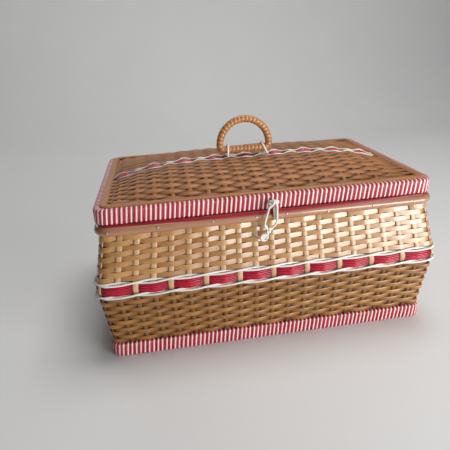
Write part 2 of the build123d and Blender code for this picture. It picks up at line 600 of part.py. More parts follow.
with BuildPart() as hinge_eyes:
    for x in (-HINGE_X, HINGE_X):
        with BuildSketch(Plane.YZ.offset(x - HINGE_WIRE / 2)):
            with Locations((HINGE_Y, HINGE_HEIGHT)):
                RegularPolygon(HINGE_BORE + HINGE_WIRE, EYE_FACETS)
                Rectangle(TO_POLE.length - RIM_POLE / 2 - 2 * SEAT_GAP, HINGE_WIRE,
                          rotation=degrees(atan2(TO_POLE.Y, TO_POLE.X)), align=(Align.MIN, Align.CENTER))
                RegularPolygon(HINGE_BORE, EYE_FACETS, major_radius=False, mode=Mode.SUBTRACT)
        extrude(amount=HINGE_WIRE)

with BuildPart() as hinge_staples:
    for x in (-HINGE_X, HINGE_X):
        with BuildSketch(Plane(origin=(x, HINGE_Y, HINGE_HEIGHT), x_dir=(1, 0, 0),
                               z_dir=Vector(1, 0, 0).cross(TO_LID))):
            add(bow(HINGE_STAPLE_WIDTH, HINGE_WIRE, TO_LID.length - HINGE_WIRE / 2 - 2 * SEAT_GAP))
    extrude(amount=HINGE_WIRE / 2, both=True)

# ---------------------------------------------------------------- named pieces
pieces = {
    "base_frame": base_frame,
    "base_wrap": base_wrap,
    "floor_board": floor_board,
    "floor_pad": floor_pad,
    "wall_stakes": wall_stakes,
    "lower_weavers": lower_weavers,
    "belt_lacing": belt_lacing,
    "belt_twines": belt_twines,
    "upper_weavers": upper_weavers,
    "rim_pole": rim_pole,
    "wall_lining": wall_lining,
    "lid_frame": lid_frame,
    "lid_wrap": lid_wrap,
    "lid_border_reed": lid_border_reed,
    "lid_board": lid_board,
    "lid_pad": lid_pad,
    "lid_stakes": lid_stakes,
    "lid_weavers": lid_weavers,
    "lid_lacing": lid_lacing,
    "lid_twines": lid_twines,
    "handle_rod": handle_rod,
    "handle_wrap": handle_wrap,
    "handle_bar_wrap": handle_bar_wrap,
    "handle_tie_left": handle_tie_left,
    "handle_tie_right": handle_tie_right,
    "hasp_staple": hasp_staple,
    "hasp_loop": hasp_loop,
    "hasp_ring": hasp_ring,
    "hasp_catch": hasp_catch,
    "hinge_eyes": hinge_eyes,
    "hinge_staples": hinge_staples,
}
for name, piece in pieces.items():
    piece.part.label = name
    export_step(piece.part, f"parts/{name}.step")
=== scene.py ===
# %% [markdown]
# # A woven sewing basket
# The basket has a bound hoop at its foot, a bulging wall of woven reed and cane with a red laced belt, a
# smooth pole round its rim, and a bound lid with a domed weave, a swing handle and a wire hasp. The solid
# model gives the true sizes and the moving bodies. This script adds every strand, cord and fold, one kind
# of piece at a time. All lengths are in metres, and the front of the basket faces -Y.

from math import asin, cos, pi, sin, sqrt

import bpy
import numpy as np
from mathutils import Matrix, Vector


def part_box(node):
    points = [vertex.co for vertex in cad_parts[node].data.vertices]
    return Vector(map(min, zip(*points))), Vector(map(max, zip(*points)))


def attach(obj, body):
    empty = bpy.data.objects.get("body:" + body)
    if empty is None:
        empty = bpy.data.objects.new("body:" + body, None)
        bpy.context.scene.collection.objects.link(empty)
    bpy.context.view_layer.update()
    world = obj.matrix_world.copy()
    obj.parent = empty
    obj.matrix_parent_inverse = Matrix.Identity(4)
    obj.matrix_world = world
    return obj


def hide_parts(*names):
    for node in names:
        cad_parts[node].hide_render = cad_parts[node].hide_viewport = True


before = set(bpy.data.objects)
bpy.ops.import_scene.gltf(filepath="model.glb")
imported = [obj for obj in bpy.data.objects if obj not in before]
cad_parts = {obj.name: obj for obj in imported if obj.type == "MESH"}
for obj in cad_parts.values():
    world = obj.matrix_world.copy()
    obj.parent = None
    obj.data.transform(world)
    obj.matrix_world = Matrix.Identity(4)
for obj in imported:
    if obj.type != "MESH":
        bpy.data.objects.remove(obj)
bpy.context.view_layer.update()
MM = 0.001
rng = np.random.default_rng(7)

# %% [markdown]
# The camera stands a little left of the middle, at arm's length and above the lid, and looks slightly down.
# Its place and its three directions are written out, because a fixed matrix is exact and needs no aiming
# helper. The camera only decides what a picture shows, so nothing in the finishes below depends on it.

# %% Camera
CAMERA_PLACE = Vector((-0.1089, -0.5421, 0.3290))
CAMERA_RIGHT = Vector((0.98673, -0.15479, -0.04904))
CAMERA_FORWARD = Vector((0.12424, 0.91420, -0.38575))
IMAGE_SIDE = 450
FOCAL_PIXELS = 441.66

forward = CAMERA_FORWARD.normalized()
right = (CAMERA_RIGHT - CAMERA_RIGHT.dot(forward) * forward).normalized()
up = right.cross(forward)
camera_data = bpy.data.cameras.new("camera")
camera_data.lens = camera_data.sensor_width * FOCAL_PIXELS / IMAGE_SIDE
camera = bpy.data.objects.new("camera", camera_data)
camera.matrix_world = Matrix((
    (right.x, up.x, -forward.x, CAMERA_PLACE.x),
    (right.y, up.y, -forward.y, CAMERA_PLACE.y),
    (right.z, up.z, -forward.z, CAMERA_PLACE.z),
    (0, 0, 0, 1),
))
bpy.context.scene.collection.objects.link(camera)
bpy.context.scene.camera = camera
bpy.context.scene.view_settings.view_transform = "Standard"
print("lens", round(camera_data.lens, 2), "mm")

# %% [markdown]
# Shader maths reads best as ordinary sums. A small class wraps one output socket and adds a Math node for
# each operator, so a finish can say `1 - mask`. Everything else, such as a noise or a mix of two colours,
# comes from the one method that makes a node. The alternative, wiring each node by hand, takes five lines
# for every sum.


# %% Sums on sockets
class Wire:
    """One output of a node in a finish."""

    def __init__(self, finish, socket):
        self.finish = finish
        self.socket = socket

    def output(self, name):
        return Wire(self.finish, self.socket.node.outputs[name])

    def sum(self, operation, *values):
        return self.finish.node("ShaderNodeMath", {"operation": operation}, dict(enumerate(values)))

    def __add__(self, other):
        return self.sum("ADD", self, other)

    def __radd__(self, other):
        return self.sum("ADD", other, self)

    def __sub__(self, other):
        return self.sum("SUBTRACT", self, other)

    def __rsub__(self, other):
        return self.sum("SUBTRACT", other, self)

    def __mul__(self, other):
        return self.sum("MULTIPLY", self, other)

    def __rmul__(self, other):
        return self.sum("MULTIPLY", other, self)


class Finish:
    """The nodes of a material or of the world, under construction."""

    def __init__(self, owner, shader, **constants):
        owner.use_nodes = True
        self.owner = owner
        self.tree = owner.node_tree
        self.shader = self.tree.nodes[shader]
        for socket, value in constants.items():
            self.shader.inputs[socket.replace("_", " ")].default_value = value

    def node(self, kind, settings, sockets, output=0):
        """Adds a node, sets it up, and fills or links its sockets."""
        made = self.tree.nodes.new(kind)
        for key, value in settings.items():
            setattr(made, key, value)
        for key, value in sockets.items():
            if isinstance(value, Wire):
                self.tree.links.new(value.socket, made.inputs[key])
            else:
                made.inputs[key].default_value = value
        return Wire(self, made.outputs[output])

    def feed(self, socket, wire):
        self.tree.links.new(wire.socket, self.shader.inputs[socket])

    def mix(self, share, first, second):
        """One colour turning into another."""
        return self.node("ShaderNodeMix", {"data_type": "RGBA"}, {0: share, 6: first, 7: second}, 2)

    def stretch(self, low, high, value):
        """Value moved from the range low to high to the range 0 to 1, and held there."""
        return self.node("ShaderNodeMapRange", {}, {0: value, 1: low, 2: high})

    def mark(self, name, output):
        """What each point of the mesh carries under this name."""
        return self.node("ShaderNodeAttribute", {"attribute_name": name}, {}, output)

    def place(self):
        """Where a point lies in its object."""
        return self.node("ShaderNodeTexCoord", {}, {}, "Object")

    def parts(self, vector):
        """The three numbers of a vector."""
        first = self.node("ShaderNodeSeparateXYZ", {}, {0: vector})
        return first, first.output("Y"), first.output("Z")

    def noise(self, place, scale, detail):
        return self.node("ShaderNodeTexNoise", {}, {"Vector": place, "Scale": scale, "Detail": detail})

    def grain(self, parts, scales, detail):
        """Noise with a scale of its own, in grains to the metre, for each number of a place."""
        scaled = {i: part * scale for i, (part, scale) in enumerate(zip(parts, scales))}
        return self.noise(self.node("ShaderNodeCombineXYZ", {}, scaled), 1.0, detail)

    def relief(self, height, distance):
        """A fine relief in the surface, `distance` deep."""
        bump = self.node("ShaderNodeBump", {}, {"Strength": 1.0, "Distance": distance, "Height": height})
        self.feed("Normal", bump)


def surface(name, **constants):
    """A new material, with the shader's plain numbers."""
    return Finish(bpy.data.materials.new(name), "Principled BSDF", **constants)


print("sums on sockets are ready")

# %% [markdown]
# Every strand carries its own coordinates: how far along it a point lies, how far round it, a tone that is
# the same over the whole strand, and how much painted shade it gets, mostly where the weave has pulled it in.
# Finishes read these numbers, so a reed's grain follows the reed over and under the stakes. Texture
# coordinates from the object would cut straight through the weave instead.


# %% Finishes of reed, cane and pole
def grain_finish(name, pale, mid, dark, streak, shine):
    """Varnished plant fibre whose grain runs along the strand."""
    finish = surface(name, Coat_Roughness=0.32 - 0.15 * shine, Specular_IOR_Level=0.2 + 0.5 * shine)
    strand = finish.parts(finish.mark("strand", "Vector"))
    tone = strand[2]
    painted_shade = finish.mark("painted_shade", "Fac")
    fibres = finish.grain(strand, (55.0, 1900.0, 91.0), 3.0)
    stains = finish.grain(strand, (22.0, 60.0, 57.0), 2.0)
    shade = finish.stretch(0.0, 1.0, tone * 0.6 + stains * 1.3 - 0.45)
    # Painted shade: the colour turns toward the dark one where a strand lies deep in the weave and in
    # grooves.
    shade_share = finish.stretch(0.25, 1.0, painted_shade)
    body = finish.mix(shade_share * 0.8, finish.mix(shade, mid, pale), dark)
    finish.feed("Base Color", finish.mix(finish.stretch(0.52, 0.75, fibres) * streak, body, dark))
    finish.feed("Roughness", 0.30 + fibres * 0.16 + shade_share * 0.15)
    finish.feed("Coat Weight", finish.stretch(1.4, 0.2, painted_shade + stains * 0.5) * shine)
    finish.relief(fibres, 0.12 * MM)
    return finish.owner


REED = grain_finish("honey_reed", (0.45, 0.21, 0.048, 1), (0.27, 0.105, 0.020, 1),
                    (0.050, 0.014, 0.003, 1), streak=0.35, shine=0.5)
CANE = grain_finish("pale_cane", (0.60, 0.33, 0.115, 1), (0.40, 0.17, 0.048, 1),
                    (0.10, 0.032, 0.009, 1), streak=0.25, shine=1.0)
STAKE = grain_finish("peeled_stake", (0.68, 0.45, 0.25, 1), (0.54, 0.31, 0.15, 1),
                     (0.080, 0.028, 0.007, 1), streak=0.2, shine=0.45)
LID_REED = grain_finish("brown_reed", (0.50, 0.22, 0.084, 1), (0.35, 0.138, 0.046, 1),
                        (0.045, 0.013, 0.004, 1), streak=0.3, shine=0.12)
POLE = grain_finish("varnished_pole", (0.47, 0.23, 0.125, 1), (0.37, 0.165, 0.085, 1),
                    (0.16, 0.055, 0.024, 1), streak=0.15, shine=0.9)
WINDING = grain_finish("wound_cane", (0.64, 0.30, 0.11, 1), (0.52, 0.22, 0.072, 1),
                       (0.13, 0.04, 0.012, 1), streak=0.3, shine=0.6)
print("finishes of plant fibre:", REED.name, CANE.name, STAKE.name, LID_REED.name, POLE.name, WINDING.name)

# %% [markdown]
# The lacing is extruded plastic: an even colour, a hard gloss and a slight ripple where it was pulled tight.
# Its colour is darkened by painted shade where a strand dives under a stake, and by a little grime along
# the ripple. The tone of each strand mixes in a lighter colour: on the belt alternate strands get a high
# tone, which paints highlight streaks, and elsewhere it differs from strand to strand, as strands from
# different hanks do.


# %% Finishes of plastic lacing and wire
def lacing_finish(name, clean, highlight_and_tone, shade_and_grime, roughness):
    """Glossy plastic with a slight ripple along the strand."""
    finish = surface(name, Specular_IOR_Level=0.55, Coat_Roughness=0.12, Coat_Weight=0.25)
    strand = finish.parts(finish.mark("strand", "Vector"))
    painted_shade = finish.mark("painted_shade", "Fac")
    ripple = finish.grain(strand, (90.0, 60.0, 77.0), 2.0)
    # Painted shade where the strand dives under a stake, and a little grime along the ripple.
    shade_and_grime_share = finish.stretch(0.35, 1.0, painted_shade) * 0.6 + finish.stretch(0.55, 0.85, ripple) * 0.12
    # The tone mixes in the lighter colour: painted highlight streaks on the belt, tone from strand to strand
    # elsewhere.
    body = finish.mix(finish.stretch(0.0, 1.0, strand[2] * 0.8 + ripple * 0.3 - 0.15), clean, highlight_and_tone)
    finish.feed("Base Color", finish.mix(shade_and_grime_share, body, shade_and_grime))
    finish.feed("Roughness", roughness + ripple * 0.12)
    finish.relief(ripple, 0.06 * MM)
    return finish.owner


RED = lacing_finish("crimson_lacing", (0.42, 0.006, 0.026, 1), (0.62, 0.016, 0.058, 1),
                    (0.12, 0.001, 0.006, 1), roughness=0.24)
WHITE = lacing_finish("white_lacing", (0.78, 0.76, 0.70, 1), (0.86, 0.85, 0.80, 1),
                      (0.42, 0.35, 0.26, 1), roughness=0.26)
print("finishes of plastic:", RED.name, WHITE.name)

# %% [markdown]
# Satin is woven so that most threads float on top in one direction. It shines in soft streaks and shows
# fine cross threads close up. The thread pattern is a bump made from two stretched noises, which holds up
# from any side, and a little sheen stands for the loose fibres. Wood and board inside the hoops, and the
# small steel nails, get plain finishes with grain or scratches.


# %% Finishes of satin, wood and steel
def satin_finish(name, lit, shaded_colour):
    """Satin with floating threads along X and finer ones across them."""
    finish = surface(name, Sheen_Weight=0.15, Sheen_Roughness=0.4, Specular_IOR_Level=0.45)
    place = finish.place()
    axes = finish.parts(place)
    floats = finish.grain(axes, (3200.0, 260.0, 260.0), 1.0)
    threads = finish.grain(axes, (260.0, 3200.0, 3200.0), 1.0)
    light_and_shade_patches = finish.noise(place, 38.0, 3.0)
    # Painted light and shade: a lit and a shaded colour mixed in soft patches and in streaks along the
    # floats.
    finish.feed("Base Color", finish.mix(finish.stretch(0.3, 0.75, light_and_shade_patches * 0.7 + floats * 0.3), lit, shaded_colour))
    finish.feed("Roughness", 0.36 + threads * 0.2)
    finish.relief(floats * 0.6 + threads * 0.4, 0.08 * MM)
    return finish.owner


def board_finish(name, pale, dark, grain):
    """Wood or card with its grain along X."""
    finish = surface(name, Specular_IOR_Level=0.3)
    rings = finish.grain(finish.parts(finish.place()), (18.0, grain, grain), 4.0)
    finish.feed("Base Color", finish.mix(finish.stretch(0.35, 0.7, rings), pale, dark))
    finish.feed("Roughness", 0.6 + rings * 0.2)
    finish.relief(rings, 0.2 * MM)
    return finish.owner


def steel_finish(name):
    """Dull steel with fine scratches."""
    finish = surface(name)
    scratches = finish.noise(finish.place(), 900.0, 3.0)
    finish.feed("Base Color", finish.mix(scratches, (0.62, 0.61, 0.60, 1), (0.40, 0.37, 0.34, 1)))
    finish.feed("Metallic", 0.8 + scratches * 0.2)
    finish.feed("Roughness", 0.22 + scratches * 0.3)
    return finish.owner


SATIN = satin_finish("dark_red_satin", (0.36, 0.003, 0.014, 1), (0.20, 0.001, 0.007, 1))
TIMBER = board_finish("hoop_timber", (0.56, 0.38, 0.21, 1), (0.38, 0.23, 0.11, 1), 420.0)
# The card is dark brown, so that through the gaps of the wall's weave it reads as shade: own colour and
# painted shade.
CARD = board_finish("lining_card", (0.14, 0.052, 0.026, 1), (0.08, 0.027, 0.013, 1), 160.0)
STEEL = steel_finish("nail_steel")
print("finishes inside:", SATIN.name, TIMBER.name, CARD.name, STEEL.name)

# %% [markdown]
# A mesh is a list of points and a list of faces. Every shape below is worked out as such lists, made into
# an object here, and then settled: it rides on the body that carries it and says which plain solids it
# stands for.


# %% From points to pieces
def make_piece(name, points, faces, finishes):
    """A smooth mesh object in the scene."""
    mesh = bpy.data.meshes.new(name)
    mesh.from_pydata(points.reshape(-1, 3).tolist(), [], faces)
    mesh.polygons.foreach_set("use_smooth", [True] * len(faces))
    for finish in finishes:
        mesh.materials.append(finish)
    piece = bpy.data.objects.new(name, mesh)
    bpy.context.scene.collection.objects.link(piece)
    return piece


def settle(piece, body, slot, *nodes):
    """Lets a piece ride on its body and stand for solid nodes. The argument slot is not used."""
    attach(piece, body)
    if nodes:
        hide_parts(*nodes)
    print(piece.name, len(piece.data.polygons), "faces")


# %% [markdown]
# Nearly every piece of a basket is a strand: one cross-section carried along a line. One class lays strands
# and gathers them into a single mesh, with the coordinates that the finishes read. A curve with a bevel
# would be shorter to write, but it can't be flat on one side, change its width along the way or carry its
# own coordinates.


# %% Strands
def unit(vectors):
    return vectors / np.linalg.norm(vectors, axis=-1, keepdims=True)


def travelled(line):
    """How far along a line each of its points lies."""
    return np.concatenate([[0.0], np.cumsum(np.linalg.norm(np.diff(line, axis=0), axis=1))])


def at_distance(line, travel, distance):
    """The points that lie these distances along a line."""
    return np.stack([np.interp(distance, travel, column) for column in line.T], -1)


class Strands:
    """Strands gathered into one mesh."""

    def __init__(self):
        self.points, self.marks, self.faces, self.paints = [], [], [], []
        self.total = 0

    def lay(self, line, across, out, section, tone=0.5, paint=0, closed=False, width=1.0, height=1.0,
            painted_shade=0.0):
        """A section, given as (across, out) points in turn, carried along a line."""
        rows, corners = len(line), len(section)
        width, height, painted_shade = (np.broadcast_to(value, (rows, corners)) for value in (width, height, painted_shade))
        points = (line[:, None] + across[:, None] * (width * section[:, 0])[:, :, None]
                  + out[:, None] * (height * section[:, 1])[:, :, None])
        edge = np.linalg.norm(np.roll(section, -1, 0) - section, axis=1)
        girth = np.concatenate([[0.0], np.cumsum(edge)[:-1]])
        marks = np.stack(np.broadcast_arrays(travelled(line)[:, None], girth[None], tone, painted_shade), 2)
        forward = np.dot(np.cross(across[0], out[0]), line[1] - line[0]) > 0
        faces = []
        for i in range(rows if closed else rows - 1):
            a, b = i * corners, (i + 1) % rows * corners
            for j in range(corners):
                k = (j + 1) % corners
                faces.append([a + j, a + k, b + k, b + j])
        if not closed:
            faces.append(list(range(corners))[::-1])
            faces.append(list(range((rows - 1) * corners, rows * corners)))
        self.faces += [[self.total + i for i in (face if forward else face[::-1])] for face in faces]
        self.points.append(points.reshape(-1, 3))
        self.marks.append(marks.reshape(-1, 4))
        self.paints += [paint] * len(faces)
        self.total += rows * corners

    def make(self, name, finishes):
        """The mesh of all strands, with their coordinates as attributes."""
        piece = make_piece(name, np.concatenate(self.points), self.faces, finishes)
        mesh, marks = piece.data, np.concatenate(self.marks)
        mesh.polygons.foreach_set("material_index", self.paints)
        strand = mesh.attributes.new("strand", "FLOAT_VECTOR", "POINT")
        strand.data.foreach_set("vector", marks[:, :3].ravel())
        painted_shade = mesh.attributes.new("painted_shade", "FLOAT", "POINT")
        painted_shade.data.foreach_set("value", marks[:, 3].copy())
        mesh.update()
        return piece


print("strands are ready")

# %% [markdown]
# A strand's section tells what it was: a round reed or a cord is an oval, a reed split down its middle is
# flat inside and round outside, and cane is a thin flat strip whose outer corners are rounded off.


# %% Sections of a strand
def oval(wide, thick, corners=10):
    """An oval section."""
    turn = np.arange(corners) * 2 * pi / corners
    return np.stack([np.cos(turn) * wide / 2, np.sin(turn) * thick / 2], 1)


def split_cane(wide, thick):
    """A flat strip with its outer corners rounded off."""
    return np.array([(-0.5, -0.5), (0.5, -0.5), (0.5, 0.2), (0.485, 0.42), (0.45, 0.49), (0.38, 0.5),
                     (-0.38, 0.5), (-0.45, 0.49), (-0.485, 0.42), (-0.5, 0.2)]) * (wide, thick)


def half_reed(wide, thick):
    """A strip that is flat inside and round outside."""
    return np.array([(-0.5, -0.5), (0.5, -0.5), (0.5, -0.2), (0.42, 0.16), (0.24, 0.42), (0.0, 0.5),
                     (-0.24, 0.42), (-0.42, 0.16), (-0.5, -0.2)]) * (wide, thick)


print("corners of an oval, a cane and a reed:", len(oval(1, 1)), len(split_cane(1, 1)), len(half_reed(1, 1)))

# %% [markdown]
# The wall stands on 64 stakes, 20 spaces along the front and 12 along each end. A stake number with a
# fraction names any place round the basket. The plan at each height is a rounded rectangle that grows from
# the foot to the belt and shrinks again to the rim, and its sizes are read from the solid wall. The corner
# stake stands in the middle of the corner's arc.

# %% Plan of the wall
FRONT_SPACES, END_SPACES = 20, 12
HALF_ROUND = FRONT_SPACES + END_SPACES
STAKES = 2 * HALF_ROUND
WALL_CORNER = 12 * MM
wall_low, wall_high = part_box("wall_stakes")
foot_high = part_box("base_wrap")[1]
belt_low, belt_high = (corner.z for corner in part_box("belt_lacing"))
FOOT = np.array([foot_high.x - 3.2 * MM, foot_high.y - 3.8 * MM])
BELT = np.array([wall_high.x + 0.5 * MM, wall_high.y - 0.9 * MM])
TOP = np.array([foot_high.x - 7.0 * MM, foot_high.y - 5.1 * MM])
FOOT_HEIGHT, BELT_HEIGHT, TOP_HEIGHT = foot_high.z, (belt_low + belt_high) / 2, wall_high.z


def wall_half(height):
    """Half width and half depth of the stake line at each height."""
    levels = (FOOT_HEIGHT, BELT_HEIGHT, TOP_HEIGHT)
    return [np.interp(height, levels, sizes) for sizes in zip(FOOT, BELT, TOP)]


def wall_place(places, height, out):
    """Points that stand `out` from the stake line, and the outward directions there."""
    places, height, out = np.broadcast_arrays(places % STAKES, height, out)
    half_width, half_depth = wall_half(height)
    turned = places >= HALF_ROUND
    step = np.where(turned, places - HALF_ROUND, places)
    long_side = step < FRONT_SPACES
    step = np.where(long_side, step, step - FRONT_SPACES)
    spaces = np.where(long_side, FRONT_SPACES, END_SPACES)
    length = np.where(long_side, half_width, half_depth)
    reach = np.where(long_side, half_depth, half_width)
    nearest = np.minimum(step, spaces - step)
    towards = np.where(step < spaces / 2, -1.0, 1.0)
    straight = length - WALL_CORNER * (1 - sqrt(0.5))
    first = (1 - 2 / spaces) * straight
    arc = WALL_CORNER * pi / 4
    round_corner = np.minimum(nearest, 1.0) * (arc + length - WALL_CORNER - first)
    turn = np.maximum(pi / 4 - round_corner / WALL_CORNER, 0.0)
    past_corner = length - WALL_CORNER + WALL_CORNER * np.sin(turn) - np.maximum(round_corner - arc, 0.0)
    along = np.where(nearest >= 1, (1 - 2 * nearest / spaces) * straight, past_corner)
    normal_along, normal_reach = towards * np.sin(turn), np.cos(turn)
    along = towards * along + normal_along * out
    reach = reach - WALL_CORNER * (1 - np.cos(turn)) + normal_reach * out
    flip = np.where(turned, -1.0, 1.0)
    x = np.where(long_side, along, reach) * flip
    y = np.where(long_side, -reach, along) * flip
    normal = np.stack([np.where(long_side, normal_along, normal_reach) * flip,
                       np.where(long_side, -normal_reach, normal_along) * flip, np.zeros_like(x)], -1)
    return np.stack([x, y, height], -1), normal


UPRIGHT = np.array([0.0, 0.0, 1.0])


def wall_frames(normal, height):
    """Directions up along the wall and straight out of it, where the wall leans."""
    rise = 1.0 * MM
    gain_width, gain_depth = (b - a for a, b in zip(wall_half(height - rise), wall_half(height + rise)))
    lean = (np.abs(normal[:, 0]) * gain_width + np.abs(normal[:, 1]) * gain_depth) / (2 * rise)
    return unit(UPRIGHT + normal * lean[:, None]), unit(normal - UPRIGHT * lean[:, None])


print("wall from", FOOT, "out to", BELT, "and in to", TOP)

# %% [markdown]
# The wall is a plain over-and-under weave on peeled upright stakes. They are split rods, so each is a flat
# oval strand that follows the wall from the foot out to the belt and in to the rim. The maker sets them by
# eye, so each stands a little off its place. Copies of one stake would be quicker, but every one here has
# its own lean and tone. They are slimmer below the belt, where the reed is packed tight and they lie in its
# shade, and there their colour is painted darker as that shade. They are narrow at the corners.

# %% Stakes of the wall
STAKE_WIDTH, STAKE_THICKNESS = 6.2 * MM, 1.5 * MM
CORNER_WIDTH, SLIM_SHARE = 0.6 * STAKE_WIDTH, 0.8
LOW_SHADE, SHADE_END = 1.15, BELT_HEIGHT - 7 * MM
STAKE_SCATTER = 0.02

stakes = Strands()
heights = np.concatenate([np.linspace(wall_low.z, BELT_HEIGHT, 9),
                          np.linspace(BELT_HEIGHT + 4 * MM, TOP_HEIGHT, 7)])
# Painted shade: below the belt the stakes' colour is darkened as the shade of the packed rows.
shaded = np.interp(heights, (SHADE_END - 2 * MM, SHADE_END), (LOW_SHADE, 0.0))
slim = np.where(shaded > LOW_SHADE / 2, SLIM_SHARE, 1.0)[:, None]
for stake in range(STAKES):
    line, normal = wall_place(np.full(len(heights), stake + rng.normal(0, STAKE_SCATTER)), heights, 0.0)
    sideways = np.stack([-normal[:, 1], normal[:, 0], 0 * heights], 1)
    width = CORNER_WIDTH if stake % HALF_ROUND in (0, FRONT_SPACES) else STAKE_WIDTH
    section = oval(width, STAKE_THICKNESS)
    stakes.lay(line, sideways, normal, section, rng.random(), width=slim, painted_shade=shaded[:, None])
settle(stakes.make("stakes", [STAKE]), "basket", "willow", "wall_stakes")

# %% [markdown]
# Every weaver passes outside one stake and inside the next, with the next row the other way round. The
# maker soaks the reed and packs each row down on the last. A strip keeps its width and runs nearly straight
# from stake to stake, so its path is a triangle wave with rounded tips, where a sine wave would make leaf
# shapes. The upper rows are flat cane with square windows between the stakes. The lower rows are narrow
# half-round reed packed tight.

# %% Weavers of the wall
PLACES = np.arange(STAKES * 8) / 8
ROUNDED_TIP = 0.96
UPPER_ROWS, LOWER_ROWS = 9, 12
REED_THICKNESS, REED_SWING, REED_LAP = 1.6 * MM, 1.4 * MM, 1.08
CANE_WIDTH, CANE_THICKNESS, CANE_SWING = 5.7 * MM, 0.7 * MM, 1.2 * MM


def straight_wave(places):
    """A weaver's swing: 1 outside a stake and -1 inside the next, nearly straight between them."""
    return np.arcsin(ROUNDED_TIP * np.cos(pi * places)) / asin(ROUNDED_TIP)


def drift(size):
    """A slow random wander along a row, with one random step for each stake."""
    steps = rng.normal(0.0, size, STAKES)
    return np.interp(PLACES, np.arange(STAKES + 1), np.append(steps, steps[0]))


def weave(strands, height, phase, swing, section, shadow, wander=0.25 * MM, give=0.07, tone=None):
    """One closed row round the wall."""
    side = straight_wave(PLACES - phase)
    level = height + drift(wander)
    line, normal = wall_place(PLACES, level, swing * side * (1 + drift(give)))
    upward, outward = wall_frames(normal, level)
    # Painted shade: the row's colour darkens where it lies inside a stake, as much as `shadow` says.
    strands.lay(line, upward, outward, section, rng.random() if tone is None else tone, closed=True,
                painted_shade=shadow * (0.5 - side / 2)[:, None])


reeds = Strands()
lower_low, lower_high = (corner.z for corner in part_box("lower_weavers"))
pitch = (lower_high - lower_low) / LOWER_ROWS
for row in range(LOWER_ROWS):
    section = half_reed(pitch * REED_LAP, REED_THICKNESS)
    weave(reeds, lower_low + (row + 0.5) * pitch, row % 2, REED_SWING, section, shadow=1.1)
settle(reeds.make("lower_reeds", [REED]), "basket", "willow", "lower_weavers")

canes = Strands()
upper_low, upper_high = (corner.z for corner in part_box("upper_weavers"))
pitch = (upper_high - upper_low) / UPPER_ROWS
for row in range(UPPER_ROWS):
    section = split_cane(CANE_WIDTH, CANE_THICKNESS)
    weave(canes, upper_low + (row + 0.5) * pitch, row % 2, CANE_SWING, section, shadow=0.55,
          wander=0.1 * MM)
settle(canes.make("upper_canes", [CANE]), "basket", "cane", "upper_weavers")

# %% [markdown]
# The belt is six strands of red plastic lacing laid side by side and woven as one band. They could be one
# wide strip with lines painted on it, but separate strands catch the light along each edge, as the real
# ones do. They are pulled tight, so they hardly wander.

# %% Laced belt
# Painted highlight: alternate strands get a high tone, which paints them lighter in streaks along the belt.
RED_HIGHLIGHT_TONES = (0.1, 0.9, 0.3, 1.0, 0.2, 0.8)
RED_WIDTH = (belt_high - belt_low) / len(RED_HIGHLIGHT_TONES)
BELT_SWING = 1.7 * MM
belt = Strands()
for row, tone in enumerate(RED_HIGHLIGHT_TONES):
    weave(belt, belt_low + (row + 0.5) * RED_WIDTH, 1, BELT_SWING, oval(RED_WIDTH, RED_WIDTH, 8), shadow=1.0,
          wander=0.03 * MM, give=0.0, tone=tone)
settle(belt.make("belt_strands", [RED]), "basket", "red_lacing", "belt_lacing")

# %% [markdown]
# Each edge of the belt is closed by a pair of white cords twined round each other, so the front cord always
# climbs to the right and dives behind its partner. Twining locks the band, and it is done by hand with two
# free ends. Each cord here is a long flat helix along the wall, so the pair crosses at every other stake
# without any cut or join.

# %% Twined cords of the belt
CORD = 1.18 * MM
TWIST_SPACES, TWIST_START = 4, 0.7
TWINE_INSET, TWINE_RISE = 1.3 * MM, 1.3 * MM
TWINE_OUT, TWINE_DEPTH, TWINE_WANDER = 1.4 * MM, 1.7 * MM, 0.12 * MM
twine_low, twine_high = (corner.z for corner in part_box("belt_twines"))
twines = Strands()
for height in (twine_low + TWINE_INSET, twine_high - TWINE_INSET):
    for half in (0, 1):
        turn = PLACES * 2 * pi / TWIST_SPACES + half * pi + TWIST_START
        level = height + TWINE_RISE * np.sin(turn) + drift(TWINE_WANDER)
        line, normal = wall_place(PLACES, level, TWINE_OUT + TWINE_DEPTH * np.cos(turn))
        upward, outward = wall_frames(normal, level)
        twines.lay(line, upward, outward, oval(2 * CORD, 2 * CORD, 8), tone=half, closed=True)
settle(twines.make("belt_cords", [WHITE]), "basket", "white_lacing", "belt_twines")
print("each cord is", round(travelled(np.append(line, line[:1], 0))[-1], 3), "m long")

# %% [markdown]
# Hoops run round the basket at the foot, the rim and the lid. Each follows a rounded rectangle, so one plan
# serves them all: a share from 0 to 1 names a place on the way round, from the middle of the front. The
# plan is a list of corner points that numbers are read from, which is shorter and safer than a separate sum
# for each side and arc.


# %% Plan of a hoop
def hoop_place(half_width, half_depth, corner, shares):
    """Points and outward directions at these shares of the way round a rounded rectangle."""
    turn = np.concatenate([k * pi / 2 + np.linspace(-pi / 2, 0, 9) for k in range(4)])
    quarters = np.repeat([(1, -1), (1, 1), (-1, 1), (-1, -1)], 9, 0)
    centres = quarters * (half_width - corner, half_depth - corner)
    normals = np.stack([np.cos(turn), np.sin(turn)], 1)
    middle, ahead = np.array([[0.0, -half_depth]]), np.array([[0.0, -1.0]])
    points = np.pad(np.concatenate([middle, centres + corner * normals, middle]), ((0, 0), (0, 1)))
    normals = np.pad(np.concatenate([ahead, normals, ahead]), ((0, 0), (0, 1)))
    travel = travelled(points)
    distance = np.asarray(shares) % 1 * travel[-1]
    return at_distance(points, travel, distance), unit(at_distance(normals, travel, distance))


def hoop_length(half_width, half_depth, corner):
    return 4 * (half_width + half_depth) + (2 * pi - 8) * corner


FOOT_CORNER, LID_CORNER = 13 * MM, 14 * MM
print("a hoop round the foot is", round(hoop_length(foot_high.x, foot_high.y, FOOT_CORNER), 3), "m long")

